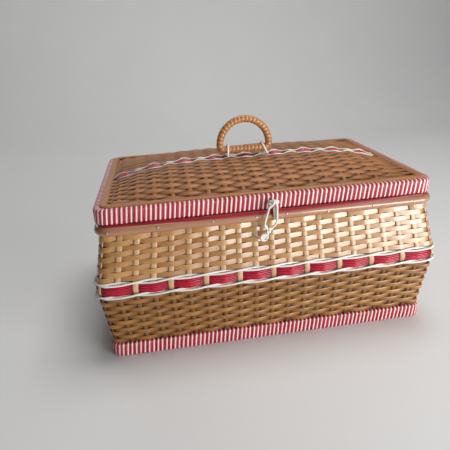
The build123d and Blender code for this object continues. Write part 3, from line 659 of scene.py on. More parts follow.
# %% [markdown]
# The hoops at the foot and round the lid are flat timber rings, bound all round in plastic lacing: one
# white strand, two red ones, and so on, pulled tight over the edges. Each strand goes down the outer side
# and in under the hoop, and leans a little because the binding advances as it winds. The strands crowd
# together on the inner side of each corner, so their width is taken from the plan at both of their edges.

# %% Bound hoops
STRIPE_PERIOD = 4.9 * MM
STRIPES = ((0.0, 1.9 * MM, 0), (1.72 * MM, 1.5 * MM, 1), (3.3 * MM, 1.5 * MM, 1))
STRAND_THICKNESS, STRAND_SPREAD = 1.1 * MM, 1.06
EDGE_BEND = 2.2 * MM
BINDING_LEAN, PERIOD_SCATTER = 0.12, 0.02


def binding_profile(low, high, top_reach, bottom_reach):
    """Depth inward, height, and outward direction of a strand round the section of a hoop."""
    inset = STRAND_THICKNESS / 2
    turn = np.linspace(0, pi / 2, 5)
    down, in_under = EDGE_BEND * (1 - np.sin(turn)), EDGE_BEND * (1 - np.cos(turn))
    depth = np.concatenate([[top_reach], inset + down, inset + in_under, [bottom_reach]])
    height = np.concatenate([[high - inset], high - inset - in_under, low + inset + down, [low + inset]])
    out = np.concatenate([[0], np.sin(turn), np.cos(turn), [0]])
    rise = np.concatenate([[1], np.cos(turn), -np.sin(turn), [-1]])
    return depth, height, out, rise


def bound_hoop(node, corner, top_reach, bottom_reach, crown=0.0):
    """The whole binding of one hoop, strand by strand."""
    low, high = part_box(node)
    plan = (high.x, high.y, corner)
    depth, height, out, rise = binding_profile(low.z, high.z + crown, top_reach, bottom_reach)
    lean = BINDING_LEAN * (height - low.z)
    length = hoop_length(*plan)
    periods = round(length / STRIPE_PERIOD)
    binding = Strands()
    for period in range(periods):
        for start, width, paint in STRIPES:
            middle = (period + rng.normal(0, PERIOD_SCATTER)) * length / periods + start
            edges = []
            for side in (-0.5, 0.5):
                point, normal = hoop_place(*plan, (middle + side * width + lean) / length)
                edges.append(point - normal * depth[:, None] + UPRIGHT * height[:, None])
            outward = unit(normal * out[:, None] + UPRIGHT * rise[:, None])
            binding.lay((edges[0] + edges[1]) / 2, (edges[1] - edges[0]) / width, outward,
                        oval(width * STRAND_SPREAD, STRAND_THICKNESS, 8), rng.random(), paint)
    return binding


binding = bound_hoop("base_wrap", FOOT_CORNER, top_reach=12 * MM, bottom_reach=12 * MM)
settle(binding.make("foot_binding", [WHITE, RED]), "basket", "red_lacing", "base_wrap")
binding = bound_hoop("lid_wrap", LID_CORNER, top_reach=13 * MM, bottom_reach=19.6 * MM, crown=0.6 * MM)
settle(binding.make("lid_binding", [WHITE, RED]), "lid", "red_lacing", "lid_wrap")

# %% [markdown]
# A round pole of varnished cane is bent round the rim and nailed to the stakes. It is steamed to take the
# four corners, so it waves and swells a little on its way. The reed round the top of the lid is half-round
# and thinner, and it covers the ends of the weave. Both are single closed strands: a torus would be round
# in plan, and a bevelled curve couldn't vary in thickness or be flat below.

# %% Pole and border reed
POLE_RADIUS, POLE_BULGE, POLE_CORNER = 5.2 * MM, 1.5 * MM, 12.8 * MM
POLE_WAVE, POLE_WAVES = 0.15 * MM, 7
POLE_SWELL, POLE_SWELLS = 0.015, 23
pole_low, pole_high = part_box("rim_pole")
POLE_HEIGHT = (pole_low.z + pole_high.z) / 2
pole_plan = (pole_high.x - POLE_RADIUS + POLE_BULGE, pole_high.y - POLE_RADIUS, POLE_CORNER)
pole = Strands()
shares = np.arange(360) / 360
point, normal = hoop_place(*pole_plan, shares)
point = point + UPRIGHT * (POLE_HEIGHT + POLE_WAVE * np.sin(shares * 2 * pi * POLE_WAVES)[:, None])
girth = 1 - POLE_SWELL * (1 + np.sin(shares * 2 * pi * POLE_SWELLS))[:, None]
pole.lay(point, UPRIGHT + 0 * normal, normal, oval(2 * POLE_RADIUS, 2 * POLE_RADIUS, 20), tone=0.4,
         closed=True, width=girth, height=girth)
settle(pole.make("pole", [POLE]), "basket", "varnished_pole", "rim_pole")

BORDER_WIDTH, BORDER_HEIGHT, BORDER_CORNER = 9 * MM, 2.5 * MM, 5.5 * MM
border_low, border_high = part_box("lid_border_reed")
border_plan = (border_high.x - BORDER_WIDTH / 2, border_high.y - BORDER_WIDTH / 2, BORDER_CORNER)
crown = np.array([(-0.5, 0), (0.5, 0), (0.47, 0.45), (0.36, 0.75), (0.2, 0.93), (0, 1), (-0.2, 0.93),
                  (-0.36, 0.75), (-0.47, 0.45)]) * (BORDER_WIDTH, BORDER_HEIGHT)
border = Strands()
point, normal = hoop_place(*border_plan, shares)
border.lay(point + UPRIGHT * border_low.z, normal, UPRIGHT + 0 * normal, crown, closed=True)
settle(border.make("border_reed", [LID_REED]), "lid", "varnished_pole", "lid_border_reed")

# %% [markdown]
# The pole's nails are small round-headed steel ones, one every five or six centimetres. A hammer leaves
# them at slightly different heights. Each head is a very short strand that narrows to a dome, so all of
# them share one mesh and one helper, where a sphere for each would be a separate object.

# %% Nails
NAIL = 1.25 * MM
NAIL_SINK, NAIL_SCATTER = 0.1 * MM, 0.7 * MM
FRONT_NAILS = (-172, -121, -64, -17.5, 15.5, 61, 112, 160)
END_NAILS = (-90, -38, 12, 55, 92)
END_REACH = pole_high.x + POLE_BULGE - NAIL_SINK
nails = Strands()
round_head = oval(2, 2, 12)
dome_turn = np.linspace(0, pi / 2, 5)


def drive_nail(x, y, outward):
    """A low round head that stands out of the pole at this place."""
    place = np.array([x, y, POLE_HEIGHT + rng.normal(0, NAIL_SCATTER)])
    sideways = unit(np.cross(outward, UPRIGHT + 0.01))
    upward = np.cross(sideways, outward)
    line = place + np.array(outward) * (0.5 * NAIL * np.sin(dome_turn))[:, None]
    size = NAIL * np.maximum(np.cos(dome_turn), 0.02)[:, None]
    nails.lay(line, sideways + 0 * line, upward + 0 * line, round_head, rng.random(), width=size, height=size)


for x in FRONT_NAILS:
    for side in (-1.0, 1.0):
        drive_nail(x * MM, side * (pole_high.y - NAIL_SINK), (0, side, 0))
for y in END_NAILS:
    for side in (-1.0, 1.0):
        drive_nail(side * END_REACH, y * MM, (side, 0, 0))
settle(nails.make("nails", [STEEL]), "basket", "varnished_pole")

# %% [markdown]
# The lid's weave is pulled into a shallow dome. Two curves, one along the lid and one across it, give the
# height at every point. Both stay flat in the middle and fall fast near the hoop, as a tight weave does. A
# flat weave bent by a modifier afterwards would stretch the rows near the edge, so every strand is laid on
# the dome from the start.

# %% Dome of the lid
weave_low, weave_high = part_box("lid_weavers")
PANEL = np.array([weave_high.x, -weave_low.y])
EDGE_SINK, TOP_SINK = 1.4 * MM, 3.5 * MM
PANEL_EDGE = border_low.z - EDGE_SINK
DOME_RISE = weave_high.z - TOP_SINK - PANEL_EDGE
LID_STAKES = 17
LID_PITCH = 2 * PANEL[0] / (LID_STAKES + 1)
MIDDLE_STAKE = -6.5 * MM


def on_dome(x, y):
    """Points on the lid's dome, with the directions towards the back, out of it and to the right."""
    x, y = np.broadcast_arrays(x, y)
    share_x, share_y = x / PANEL[0], y / PANEL[1]
    fall_x, fall_y = 1 - share_x ** 4, 1 - np.abs(share_y) ** 3
    slope_x = -4 * share_x ** 3 / PANEL[0] * DOME_RISE * fall_y
    slope_y = -3 * share_y * np.abs(share_y) / PANEL[1] * DOME_RISE * fall_x
    none, one = np.zeros_like(x), np.ones_like(x)
    place = np.stack([x, y, PANEL_EDGE + DOME_RISE * fall_x * fall_y], -1)
    back, out, aside = ([none, one, slope_y], [-slope_x, -slope_y, one], [one, none, slope_x])
    return place, *(unit(np.stack(direction, -1)) for direction in (back, out, aside))


print("the dome rises", round(DOME_RISE / MM, 1), "mm")

# %% [markdown]
# The lid is woven on 17 stakes that run from front to back. They stand a little left of the middle, with
# the handle. Its rows are half-round reed that is packed so tight that it overlaps and is squeezed narrow
# where it dives under a stake, which leaves small dark slits beside each one, darkened further by painted
# shade on the rows inside the stakes. The stakes get a little painted shade all over. The rows are open
# strands that end under the border reed.

# %% Weave of the lid
RIB_WIDTH, RIB_THICKNESS, RIB_SHADE = 5.0 * MM, 1.6 * MM, 0.4
LID_SWING, LID_LAP, LID_THICKNESS = 1.1 * MM, 1.3, 1.9 * MM
LID_TROUGH = 0.66
ROWS_IN_FRONT, ROWS_BEHIND = 15, 20
BRAID_HALF = 5.3 * MM
braid_low, braid_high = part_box("lid_twines")
BRAID_Y = (braid_low.y + braid_high.y) / 2
STEPS = np.linspace(0, LID_STAKES + 1, (LID_STAKES + 1) * 8 + 1)
lid_numbers = np.arange(LID_STAKES + 2)
lid_places = MIDDLE_STAKE + (lid_numbers - (LID_STAKES + 1) / 2) * LID_PITCH
lid_places[[0, -1]] = -PANEL[0], PANEL[0]


def lid_row(strands, y, phase, swing, section, trough=1.0, wander=0.3 * MM, hold=0.1):
    """One row from end to end of the lid. It narrows to `trough` of its width inside a stake, and keeps its
    height over a stake for longer as `hold` grows."""
    side = np.tanh(hold * np.cos(pi * (STEPS - phase))) / np.tanh(hold)
    knots = rng.normal(0.0, wander, LID_STAKES + 2)
    x = np.interp(STEPS, lid_numbers, lid_places)
    place, back, out, _ = on_dome(x, y + np.interp(STEPS, lid_numbers, knots))
    width = (1 + trough) / 2 + (1 - trough) / 2 * side
    # Painted shade: the row's colour darkens where it lies inside a stake.
    strands.lay(place + out * (swing * side)[:, None], back, out, section, rng.random(), width=width[:, None],
                painted_shade=(0.5 - side / 2)[:, None])


lid_stakes = Strands()
stake_run = np.linspace(-PANEL[1], PANEL[1], 25)
for stake_x in lid_places[1:-1]:
    place, _, out, aside = on_dome(stake_x + rng.normal(0, 0.2 * MM), stake_run)
    # RIB_SHADE is painted shade: it darkens the lid's stakes a little all over.
    lid_stakes.lay(place, aside, out, oval(RIB_WIDTH, RIB_THICKNESS), rng.random(), painted_shade=RIB_SHADE)
settle(lid_stakes.make("lid_ribs", [LID_REED]), "lid", "willow", "lid_stakes")

lid_reeds = Strands()
for low, high, rows in ((-PANEL[1], BRAID_Y - BRAID_HALF, ROWS_IN_FRONT),
                        (BRAID_Y + BRAID_HALF, PANEL[1], ROWS_BEHIND)):
    pitch = (high - low) / rows
    for row in range(rows):
        section = half_reed(pitch * LID_LAP, LID_THICKNESS)
        lid_row(lid_reeds, low + (row + 0.5) * pitch, row % 2, LID_SWING, section, LID_TROUGH)
settle(lid_reeds.make("lid_reeds", [LID_REED]), "lid", "willow", "lid_weavers")

# %% [markdown]
# A band of red lacing crosses the lid in the same way as the belt, and a white cord snakes along each side
# of it. Each cord swings out round a red lens, pinches in where the band dives under a stake, and rises
# over every stake. The front cord lies lower than the back one, so that the lens shows between them.

# %% Laced band of the lid
RED_CORD, BAND_STRANDS, BAND_SWING = 1.72 * MM, 6, 2.5 * MM
lid_band = Strands()
for row in range(BAND_STRANDS):
    y = BRAID_Y + (row - (BAND_STRANDS - 1) / 2) * RED_CORD
    lid_row(lid_band, y, 1, BAND_SWING, oval(RED_CORD, RED_CORD, 8), wander=0.06 * MM, hold=1.2)
settle(lid_band.make("lid_strands", [RED]), "lid", "red_lacing", "lid_lacing")

SNAKE_WIDTH = 2.1 * MM
SNAKE_ASIDE, SNAKE_SWING = 4.6 * MM, 2.2 * MM
SNAKE_LIFT, SNAKE_HUMP = 2.1 * MM, 0.8 * MM
BACK_LIFT, BACK_SWING = 0.6 * MM, 0.4 * MM
snakes = Strands()
x = np.linspace(braid_low.x, braid_high.x - 9 * MM, 289)
turn = pi * (x - MIDDLE_STAKE) / LID_PITCH
for side in (-1, 1):
    place, back, out, _ = on_dome(x, BRAID_Y + side * (SNAKE_ASIDE + SNAKE_SWING * np.cos(turn)))
    lift = SNAKE_LIFT + side * (BACK_LIFT + BACK_SWING * np.cos(turn)) + SNAKE_HUMP * np.cos(2 * turn)
    snakes.lay(place + out * lift[:, None], back, out, oval(SNAKE_WIDTH, SNAKE_WIDTH, 10))
settle(snakes.make("lid_cords", [WHITE]), "lid", "white_lacing", "lid_twines")

# %% [markdown]
# Wire, ties and the handle are round pieces along bent lines. One helper smooths a short list of corners
# into a curve, one makes a circle, and one gives the two directions that carry a round section along a line
# without a twist. A curve object with a bevel could do this too, but here the wires share the finishes and
# coordinates of the other strands.


# %% Bent lines
def smooth(corners, count):
    """A curve through these corners, evenly sampled (Catmull-Rom)."""
    corners = np.array(corners, float)
    full = np.concatenate([2 * corners[:1] - corners[1:2], corners, 2 * corners[-1:] - corners[-2:-1]])
    spans = len(full) - 3
    at = np.linspace(0, spans, 24 * spans + 1)
    which = np.minimum(at.astype(int), spans - 1)
    t = (at - which)[:, None]
    a, b, c, d = (full[which + k] for k in range(4))
    curve = 0.5 * (2 * b + (c - a) * t + (2 * a - 5 * b + 4 * c - d) * t ** 2
                   + (3 * b - a - 3 * c + d) * t ** 3)
    travel = travelled(curve)
    return at_distance(curve, travel, np.linspace(0, travel[-1], count))


def circle(centre, radius, first, second, count):
    """Points round the circle that the directions `first` and `second` span."""
    turn = np.linspace(0, 2 * pi, count + 1)[:-1, None]
    return np.array(centre) + radius * (np.cos(turn) * np.array(first) + np.sin(turn) * np.array(second))


def bend_frames(line, aside, closed=False):
    """Directions square to a curve: the first is as near as possible to `aside`."""
    ahead = unit(np.roll(line, -1, 0) - np.roll(line, 1, 0) if closed else np.gradient(line, axis=0))
    across = unit(aside - ahead * (ahead @ aside)[:, None])
    return across, np.cross(ahead, across)


def wire(strands, line, radius, aside, tone=0.5, closed=False):
    """A round strand along a curve."""
    across, out = bend_frames(line, np.array(aside, float), closed)
    strands.lay(line, across, out, oval(2 * radius, 2 * radius), tone, closed=closed)


ALONG_X, ALONG_Y, ALONG_Z = np.eye(3)
print("bent lines are ready")

# %% [markdown]
# The handle is a bent rod wound with split cane: an arch on a flat bar, joined by two tight corners. Each
# turn lies beside the last and stands proud in its middle. A spiral strand needs two sets of frames, the
# rod's and its own, so the winding is cut into the surface of one round ring instead. Part of the bar is
# wound twice.

# %% Handle
WRAPS, WRAP_STEPS, RING_CORNERS = 35, 10, 20
WRAP_GROOVE, WRAP_CREST = 0.7 * MM, 0.6
CANE_RADIUS, CORNER_RADIUS = 4.5 * MM, 5.5 * MM
LAP_RISE, LAP_HALF = 0.5 * MM, 11 * MM
arch_low, arch_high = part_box("handle_wrap")
ARCH_RADIUS = (arch_high.x - arch_low.x) / 2 - CANE_RADIUS - 0.2 * MM
HANDLE_X, HANDLE_Y = (arch_low.x + arch_high.x) / 2, (arch_low.y + arch_high.y) / 2
ARCH_HEIGHT = arch_high.z - CANE_RADIUS - ARCH_RADIUS
BAR_HEIGHT = sum(corner.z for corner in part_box("handle_bar_wrap")) / 2
BAR_HALF = ARCH_RADIUS - CORNER_RADIUS

arc, low_arc = np.linspace(0, pi, 60), np.linspace(0, pi / 2, 9)
bar = np.linspace(-BAR_HALF, BAR_HALF, 40)[1:-1]
corner_out, corner_up = CORNER_RADIUS * np.sin(low_arc), CORNER_RADIUS * (1 - np.cos(low_arc))
outline = np.concatenate([
    np.stack([bar, 0 * bar + BAR_HEIGHT], 1),
    np.stack([BAR_HALF + corner_out, BAR_HEIGHT + corner_up], 1),
    np.stack([ARCH_RADIUS * np.cos(arc), ARCH_HEIGHT + ARCH_RADIUS * np.sin(arc)], 1)[1:-1],
    np.stack([-BAR_HALF - corner_out, BAR_HEIGHT + corner_up], 1)[::-1],
])
outline = np.stack([HANDLE_X + outline[:, 0], 0 * outline[:, 0] + HANDLE_Y, outline[:, 1]], 1)
outline = np.append(outline, outline[:1], 0)
travel = travelled(outline)
even = np.linspace(0, travel[-1], WRAPS * WRAP_STEPS + 1)[:-1]
ring = at_distance(outline, travel, even)
across, out = bend_frames(ring, ALONG_Y, True)
turns = pi * WRAPS * even[:, None] / travel[-1] + np.arange(RING_CORNERS) * pi / RING_CORNERS
crest = np.abs(np.sin(turns)) ** WRAP_CREST
on_lap = (np.abs(ring[:, :1] - HANDLE_X - LAP_HALF) < LAP_HALF) & (ring[:, 2:] < BAR_HEIGHT + 1 * MM)
radius = CANE_RADIUS - WRAP_GROOVE * (1 - crest) + LAP_RISE * on_lap
handle = Strands()
tone = 0.5 + 0.4 * np.sin(even[:, None] * 900)
# Painted shade: the colour darkens in the grooves between the turns.
handle.lay(ring, across, out, oval(2, 2, RING_CORNERS), tone, closed=True, width=radius, height=radius,
           painted_shade=1 - crest)
settle(handle.make("handle_winding", [WINDING]), "handle", "cane", "handle_wrap", "handle_bar_wrap")

# %% [markdown]
# Two loops of white lacing tie the bar to the white cords of the lid. Each goes round the bar with room for
# it to turn, and its ends dive under the cords. The left one stands upright and the right one leans. A tie
# that is knotted in place is stiff, so its line is drawn with nine corners instead of being simulated.

# %% Ties
TIE = 1.5 * MM
for name, top_x, foot_x in (("handle_tie_left", -28.0, -29.4), ("handle_tie_right", 14.2, 20.8)):
    low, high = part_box(name)
    crown_z, foot_z = high.z - TIE, low.z - 3.2 * MM
    reach = (high.y - low.y) / 2 - TIE
    rising = ((1.02, foot_z), (0.98, foot_z + 3.5 * MM), (0.8, BAR_HEIGHT + 0.5 * MM),
              (0.5, crown_z - 1 * MM))
    corners = []
    for aside, z in [(-aside, z) for aside, z in rising] + [(0, crown_z)] + list(rising[::-1]):
        share = (z - foot_z) / (crown_z - foot_z)
        corners.append(((foot_x + (top_x - foot_x) * share) * MM, BRAID_Y + aside * reach, z))
    loop, line = Strands(), smooth(corners, 40)
    wire(loop, line, TIE, ALONG_X)
    settle(loop.make(name + "_cord", [WHITE]), "lid", "white_lacing", name)
    print("its length is", round(travelled(line)[-1] / MM, 1), "mm")

# %% [markdown]
# The hasp is one length of plastic-covered wire. Its middle hooks round a staple in the lid, both legs hang
# down in front of the rim, cross and twist together, and end in a round pull. Its corners are written out,
# because such a wire is bent with pliers and follows no formula. The hook is narrow, so that it can swing
# up without meeting the staple's legs.

# %% Hasp
WIRE = 1.2 * MM
LOOP_Y = -124.45 * MM
LEFT_LEG = ((-6.8, 0, -28.0), (-8.9, 0, -26.2), (-9.8, 0, -23.2), (-9.4, 0, -19.0), (-7.8, 0, -13.1),
            (-5.6, 0, -6.0), (-4.2, 0, -3.4), (-1.0, 0, -1.4))
HOOK = ((0.2, 0.3, 0.6), (0.6, 1.9, 2.3), (1.2, 3.4, 2.7), (1.8, 1.9, 2.3), (2.1, 0.3, 0.6))
RIGHT_LEG = ((3.0, 0, -1.4), (3.6, 0, -3.6), (3.6, 0, -6.0), (3.4, 0, -12.0), (3.2, 0, -19.0),
             (1.8, 0, -23.4), (-1.4, 0, -25.9), (-4.6, 0, -28.2))
staple_low, staple_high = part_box("hasp_staple")
staple_z = (staple_low.z + staple_high.z) / 2
legs = Strands()
line = smooth(np.array(LEFT_LEG + HOOK + RIGHT_LEG) * MM + (0, LOOP_Y, staple_z), 90)
wire(legs, line, WIRE, ALONG_Y, 0.3)
print("the hasp's loop takes", round(travelled(line)[-1] / MM, 1), "mm of wire")

TWIST_TOP, TWIST_DROP = np.array([-4.0, 0, -27.6]) * MM, np.array([-4.2, 0, -6.2]) * MM
TWIST_SWELL, TWIST_DEEP = np.array([0.83, 0, -0.56]) * 1.5 * MM, np.array([0, 0.8, 0]) * MM
share = np.linspace(0, 1, 25)[:, None]
for half in (0, 1):
    turn = share * 2 * pi + half * pi
    line = (0, LOOP_Y, staple_z) + TWIST_TOP + TWIST_DROP * share + TWIST_SWELL * np.cos(turn)
    wire(legs, line + TWIST_DEEP * np.sin(turn), WIRE, ALONG_Y, 0.6)
settle(legs.make("hasp_wire", [WHITE]), "hasp", "white_wire", "hasp_loop")

ring_low, ring_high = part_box("hasp_ring")
pull = Strands()
ring_radius = (ring_high.x - ring_low.x) / 2 - WIRE
wire(pull, circle((ring_low + ring_high) / 2, ring_radius, ALONG_X, ALONG_Z, 32), WIRE, ALONG_Y, closed=True)
settle(pull.make("hasp_pull", [WHITE]), "hasp", "white_wire", "hasp_ring")

# %% [markdown]
# The staple is a bow of the same wire. It comes out of the binding, crosses in front of it and goes back
# in, with a small knot at each end. The catch is a tongue of white plastic that stands up from the wall,
# and the loop drops over it. The tongue is a flat strand that tapers at both ends, which is enough for a
# moulded strip of this size.

# %% Bow and catch
bow = Strands()
KNOT_SHIFT, KNOT_RADIUS, KNOT_WIRE = 1.3 * MM, 1.6 * MM, 1.15 * MM
middle_x = (staple_low.x + staple_high.x) / 2
legs_x = (staple_high.x - staple_low.x) / 2 - WIRE
knot_z = staple_z - 1.7 * MM
bends = ((1.0, KNOT_SHIFT, staple_high.y, knot_z), (1.0, 0, staple_low.y + 2.2 * MM, staple_z),
         (0.6, 0, staple_low.y + WIRE, staple_z))
corners = [(middle_x - share * legs_x + shift, y, z) for share, shift, y, z in bends]
corners += [(middle_x + share * legs_x + shift, y, z) for share, shift, y, z in bends[::-1]]
wire(bow, smooth(corners, 40), WIRE, ALONG_Z)
for x in (-legs_x, legs_x):
    knot = (middle_x + x + KNOT_SHIFT, staple_high.y - 0.7 * MM, knot_z)
    wire(bow, circle(knot, KNOT_RADIUS, ALONG_X, ALONG_Z, 16), KNOT_WIRE, ALONG_Y, 0.7, True)
settle(bow.make("hasp_bow", [WHITE]), "lid", "white_wire", "hasp_staple")

TONGUE_WIDTH, TONGUE_THICKNESS = 3.9 * MM, 3.0 * MM
catch_low, catch_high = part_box("hasp_catch")
tongue = Strands()
catch_x, catch_y = (catch_low.x + catch_high.x) / 2 + 0.3 * MM, (catch_low.y + catch_high.y) / 2
bends = ((0, 0), (0.2, 0.03), (0.1, 0.3), (-0.1, 0.6), (0, 0.9), (0, 0.98), (0, 1))
line = np.array([(catch_x + shift * MM, catch_y, catch_low.z + (catch_high.z - catch_low.z) * share)
                 for shift, share in bends])
taper = np.array([0.5, 0.9, 1.0, 1.0, 1.0, 0.8, 0.4])[:, None]
across, out = bend_frames(line, ALONG_X)
# Tone 1.0 paints the tongue in the lighter white, painted light that lifts it out of the lid's shade.
tongue.lay(line, across, out, oval(TONGUE_WIDTH, TONGUE_THICKNESS, 12), 1.0, width=taper, height=taper)
settle(tongue.make("catch_tongue", [WHITE]), "basket", "white_wire", "hasp_catch")

# %% [markdown]
# Two hinges hold the lid at the back. Each is a wire eye round the pole and a wire staple in the lid that
# passes through the eye, the simplest hinge that a basket maker can bend with pliers.

# %% Hinges
HINGE_WIRE, SHANK = 0.9 * MM, 3 * MM
eye_low, eye_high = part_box("hinge_eyes")
clip_low, clip_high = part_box("hinge_staples")
eye_y, eye_z = (eye_low.y + eye_high.y) / 2, (eye_low.z + eye_high.z) / 2
eye_radius = (eye_high.z - eye_low.z) / 2 - HINGE_WIRE
eye_x = eye_high.x - HINGE_WIRE
clip_half = clip_high.x - eye_x - HINGE_WIRE
to_pole = unit(np.array([0, pole_high.y - POLE_RADIUS - eye_y, POLE_HEIGHT - eye_z]))
eyes, clips = Strands(), Strands()
for side in (-1, 1):
    centre = (side * eye_x, eye_y, eye_z)
    wire(eyes, circle(centre, eye_radius, ALONG_Y, ALONG_Z, 24), HINGE_WIRE, ALONG_X, closed=True)
    shank = centre + to_pole * np.linspace(eye_radius, eye_radius + SHANK, 4)[:, None]
    wire(eyes, shank, HINGE_WIRE, ALONG_X)
    bends = ((1, clip_low.y, clip_high.z - HINGE_WIRE), (1, eye_y - 1 * MM, eye_z + 1 * MM),
             (0.7, eye_y, eye_z))
    corners = [(side * eye_x - share * clip_half, y, z) for share, y, z in bends]
    corners += [(side * eye_x + share * clip_half, y, z) for share, y, z in bends[::-1]]
    wire(clips, smooth(corners, 50), HINGE_WIRE, (0, 1, 1))
settle(eyes.make("hinge_wire", [WHITE]), "basket", "white_wire", "hinge_eyes")
settle(clips.make("hinge_clips", [WHITE]), "lid", "white_wire", "hinge_staples")

# %% [markdown]
# The inside is lined with card, and dark red satin is stretched over the card in soft upright gathers. At
# the top the satin is turned outward over the pole and glued down, which leaves a dark red lip under the
# lid. The lip is widest in the middle of each side. The sheet is built from its flat layout: columns round
# the wall, rows up it.

# %% Satin lining
COLUMNS, GATHERS = 720, 96
CARD_INSIDE, CARD_CORNER = 6.5 * MM, 14 * MM
GATHER_DEPTH = 0.75 * MM
LIP_LEAST, LIP_MIDDLE, LIP_ENDS = 1.1 * MM, 3.0 * MM, 0.9 * MM
INNER_ROWS = ((-8.6, -4.0), (-8.6, -0.4), (-8.0, 0.15), (-5.6, 0.12), (-4.4, -0.3), (-3.0, -0.4),
              (-1.5, -0.35))
LIP_ROWS = ((0.0, 1.35, 0.0), (0.3, 1.2, 1.0), (0.55, 1.0, 1.2), (0.8, 0.9, 0.8), (0.95, 0.6, 0.2),
            (1.0, 0.05, 0.0))
lining_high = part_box("wall_lining")[1].z
lining_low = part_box("floor_pad")[1].z
shares = np.arange(COLUMNS) / COLUMNS
round_it = shares * 2 * pi
swell = np.sin(round_it * GATHERS + 1.6 * np.sin(round_it * 11) + np.sin(round_it * 23))
rows = []
for share in np.linspace(0, 1, 15):
    height = lining_low + (lining_high - 9 * MM - lining_low) * share
    half_width, half_depth = wall_half(min(height, TOP_HEIGHT))
    point, normal = hoop_place(half_width - CARD_INSIDE, half_depth - CARD_INSIDE, CARD_CORNER, shares)
    depth = GATHER_DEPTH * sin(pi * share) ** 0.5 * (1 + swell)
    rows.append(point - normal * depth[:, None] + UPRIGHT * height)
point, normal = hoop_place(*pole_plan, shares)
share_x, share_y = np.abs(point[:, 0]) / pole_plan[0], np.abs(point[:, 1]) / pole_plan[1]
reach = LIP_LEAST + LIP_MIDDLE * (1 - np.minimum(share_x, share_y) ** 2) - LIP_ENDS * share_x ** 4
for outward, rise in INNER_ROWS:
    rows.append(point + normal * outward * MM + UPRIGHT * (lining_high + rise * MM))
for share, puff, bulge in LIP_ROWS:
    out = reach * share
    puff = (puff + bulge * np.abs(normal[:, 1])) * (1 + 0.05 * swell) * MM
    height = POLE_HEIGHT + np.sqrt(POLE_RADIUS ** 2 - out ** 2) + puff
    rows.append(point + normal * out[:, None] + UPRIGHT * height[:, None])
grid = np.stack(rows)
faces = []
for i in range(0, (len(rows) - 1) * COLUMNS, COLUMNS):
    for j in range(COLUMNS):
        k = (j + 1) % COLUMNS
        faces.append([i + j, i + COLUMNS + j, i + COLUMNS + k, i + k])
lining = make_piece("satin_lining", grid, faces, [SATIN])
round_length = np.linalg.norm(grid - np.roll(grid, -1, 1), axis=2).sum(1).mean()
up_length = np.linalg.norm(np.diff(grid, axis=0), axis=2).sum(0).mean()
settle(lining, "basket", "satin")
print("satin cut", round(float(round_length), 3), "by", round(float(up_length), 3), "m")

# %% [markdown]
# The floor and the underside of the lid are padded: thin wadding under the same satin, held down at the
# edge and by a few buttoned tufts. Each pad starts as a thin closed shape and is blown up in a short cloth
# simulation, with its edge and tufts pinned. Simulation gives the soft pull toward each tuft, which is hard
# to draw by hand.

# %% Pads
TUFTS = [(a, b) for b in (0.25, 0.75) for a in (0.125, 0.375, 0.625, 0.875)]
TUFTS += [(a, 0.5) for a in (0.25, 0.5, 0.75)]
PAD_ACROSS, PAD_ALONG = 72, 44
PAD_EASE = 0.8 * MM
PRESSURE, CLOTH_STEPS = 4.0, 20


def blow_up(pad, points, cap):
    """The pad's points after a short cloth simulation, none of them further than `cap` from its place."""
    cloth = pad.modifiers.new("cloth", "CLOTH")
    cloth.settings.use_pressure = True
    cloth.settings.uniform_pressure_force = PRESSURE
    cloth.settings.vertex_group_mass = "held"
    cloth.settings.effector_weights.gravity = 0.0
    cloth.point_cache.frame_end = CLOTH_STEPS
    for step in range(1, CLOTH_STEPS + 1):
        bpy.context.scene.frame_set(step)
    blown = pad.evaluated_get(bpy.context.evaluated_depsgraph_get()).data
    moved = np.empty(points.size)
    blown.vertices.foreach_get("co", moved)
    pad.modifiers.clear()
    bpy.context.scene.frame_set(1)
    shift = moved.reshape(-1, 3) - points
    far = np.linalg.norm(shift, axis=1, keepdims=True)
    return points + shift * np.minimum(1.0, cap / np.maximum(far, 1e-9))


def satin_pad(name, node, body, cap, tuft_height):
    """A closed pad that fills a solid node, pinned at its edge and at its tufts."""
    low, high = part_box(node)
    x = np.linspace(low.x + PAD_EASE, high.x - PAD_EASE, PAD_ACROSS)
    y = np.linspace(low.y + PAD_EASE, high.y - PAD_EASE, PAD_ALONG)
    thickness = high.z - low.z
    points = np.array([(a, b, low.z + share * thickness) for share in (0.1, 0.5) for b in y for a in x])
    layer = PAD_ACROSS * PAD_ALONG
    corners = [j * PAD_ACROSS + i for j in range(PAD_ALONG - 1) for i in range(PAD_ACROSS - 1)]
    top = [[layer + k, layer + k + 1, layer + k + 1 + PAD_ACROSS, layer + k + PAD_ACROSS] for k in corners]
    bottom = [[k - layer for k in face[::-1]] for face in top]
    rim = ([j * PAD_ACROSS for j in range(PAD_ALONG - 1, 0, -1)] + list(range(PAD_ACROSS - 1))
           + [j * PAD_ACROSS + PAD_ACROSS - 1 for j in range(PAD_ALONG - 1)]
           + [(PAD_ALONG - 1) * PAD_ACROSS + i for i in range(PAD_ACROSS - 1, 0, -1)])
    sides = [[a, b, b + layer, a + layer] for a, b in zip(rim, rim[1:] + rim[:1])]
    pad = make_piece(name, points, top + bottom + sides, [SATIN])
    buttons = []
    for a, b in TUFTS:
        place = (low.x + (high.x - low.x) * a, low.y + (high.y - low.y) * b)
        buttons.append(int(np.argmin(((points[:layer, :2] - place) ** 2).sum(1))))
    tufts = buttons + [k + layer for k in buttons]
    pad.vertex_groups.new(name="held").add(rim + [k + layer for k in rim] + tufts, 1.0, "REPLACE")
    points[tufts, 2] = low.z + thickness * tuft_height
    pad.data.vertices.foreach_set("co", points.ravel())
    points = np.clip(blow_up(pad, points, cap), low, high)
    pad.data.vertices.foreach_set("co", points.ravel())
    fine = pad.modifiers.new("fine", "SUBSURF")
    fine.levels = fine.render_levels = 1
    settle(pad, body, "satin", node)


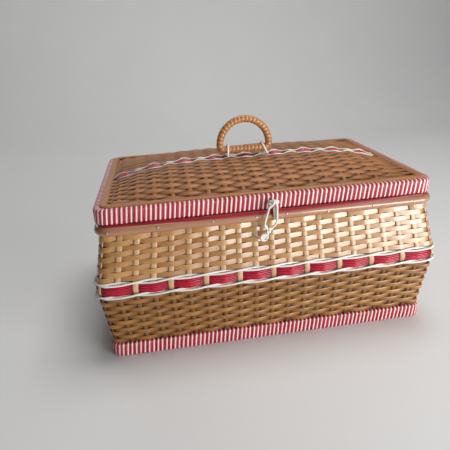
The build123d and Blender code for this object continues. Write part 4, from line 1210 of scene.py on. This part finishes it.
satin_pad("floor_cushion", "floor_pad", "basket", 3.5 * MM, 0.45)
satin_pad("lid_cushion", "lid_pad", "lid", 1.2 * MM, 0.5)

# %% [markdown]
# A few plain pieces stay as solids, because nothing on them is woven or wound: the timber rings inside the
# hoops, the boards and the rod inside the handle. They only take a finish. The timber is pale softwood with
# long grain, and the boards are brown card.

# %% Plain solid pieces
for node, finish in (("base_frame", TIMBER), ("lid_frame", TIMBER), ("handle_rod", TIMBER),
                     ("floor_board", CARD), ("lid_board", CARD), ("wall_lining", CARD)):
    solid = bpy.data.objects[node]
    solid.data.materials.clear()
    solid.data.materials.append(finish)
    print(node, "is finished in", finish.name)

# %% [markdown]
# The floor is one pale sheet that curves up behind the basket, so no horizon shows from the front, as a
# paper sheet hung in a studio does. It is a strip of a few faces with a smooth bend, and its colour is
# mottled a little, as paper is.

# %% Floor
FLOOR_HALF, FLOOR_FRONT, BEND_START = 3.0, -2.5, 0.9
BEND_RADIUS, BACK_HEIGHT = 0.6, 3.0
floor_finish = surface("pale_floor", Specular_IOR_Level=0.2)
mottle = floor_finish.noise(floor_finish.place(), 6.0, 3.0)
floor_finish.feed("Base Color", floor_finish.mix(mottle, (0.80, 0.80, 0.79, 1), (0.76, 0.76, 0.76, 1)))
floor_finish.feed("Roughness", 0.7 + mottle * 0.1)

profile = [(FLOOR_FRONT, 0.0), (BEND_START, 0.0)]
for turn in np.linspace(0.1, pi / 2, 14):
    profile.append((BEND_START + BEND_RADIUS * sin(turn), BEND_RADIUS * (1 - cos(turn))))
profile += [(BEND_START + BEND_RADIUS, BACK_HEIGHT)]
points = np.array([(x, y, z) for y, z in profile for x in (-FLOOR_HALF, FLOOR_HALF)])
faces = [(2 * i, 2 * i + 1, 2 * i + 3, 2 * i + 2) for i in range(len(profile) - 1)]
sweep = make_piece("sweep", points, faces, [floor_finish.owner])
print("the floor has", len(faces), "faces")

# %% [markdown]
# A large soft light stands low at the right of the front, where it catches each span of cane that turns
# toward it. A wide weak one fills the left, one stands behind, and one hangs above and shapes the weave of
# the lid. The world gives an even light from all round and looks pale to the camera and in reflections.


# %% Light
def soft_light(name, place, width, height, power):
    """A rectangular light that looks at the basket."""
    data = bpy.data.lights.new(name, "AREA")
    data.shape = "RECTANGLE"
    data.size, data.size_y = width, height
    data.energy = power
    light = bpy.data.objects.new(name, data)
    light.location = place
    light.rotation_euler = (Vector((0, 0, 0.1)) - Vector(place)).to_track_quat("-Z", "Y").to_euler()
    bpy.context.scene.collection.objects.link(light)
    print(name, power, "W")


soft_light("key_light", (0.64, -0.88, 0.20), 0.75, 0.36, 11.0)
soft_light("fill_light", (-1.3, -1.0, 1.4), 1.2, 1.2, 0.7)
soft_light("back_light", (-0.5, 1.5, 0.9), 1.2, 1.2, 6.0)
soft_light("top_light", (0.35, 0.1, 1.9), 1.0, 1.0, 20.0)

world = bpy.data.worlds.new("studio")
bpy.context.scene.world = world
studio = Finish(world, "Background")
rays = studio.node("ShaderNodeLightPath", {}, {}, "Is Camera Ray")
seen = rays.sum("MAXIMUM", rays, rays.output("Is Glossy Ray"))
seen = seen.sum("MAXIMUM", seen, rays.output("Is Transmission Ray"))
strength = studio.node("ShaderNodeMapRange", {}, {"Value": seen, "To Min": 0.25, "To Max": 0.85})
studio.feed("Strength", strength)
print("the world is", world.name)
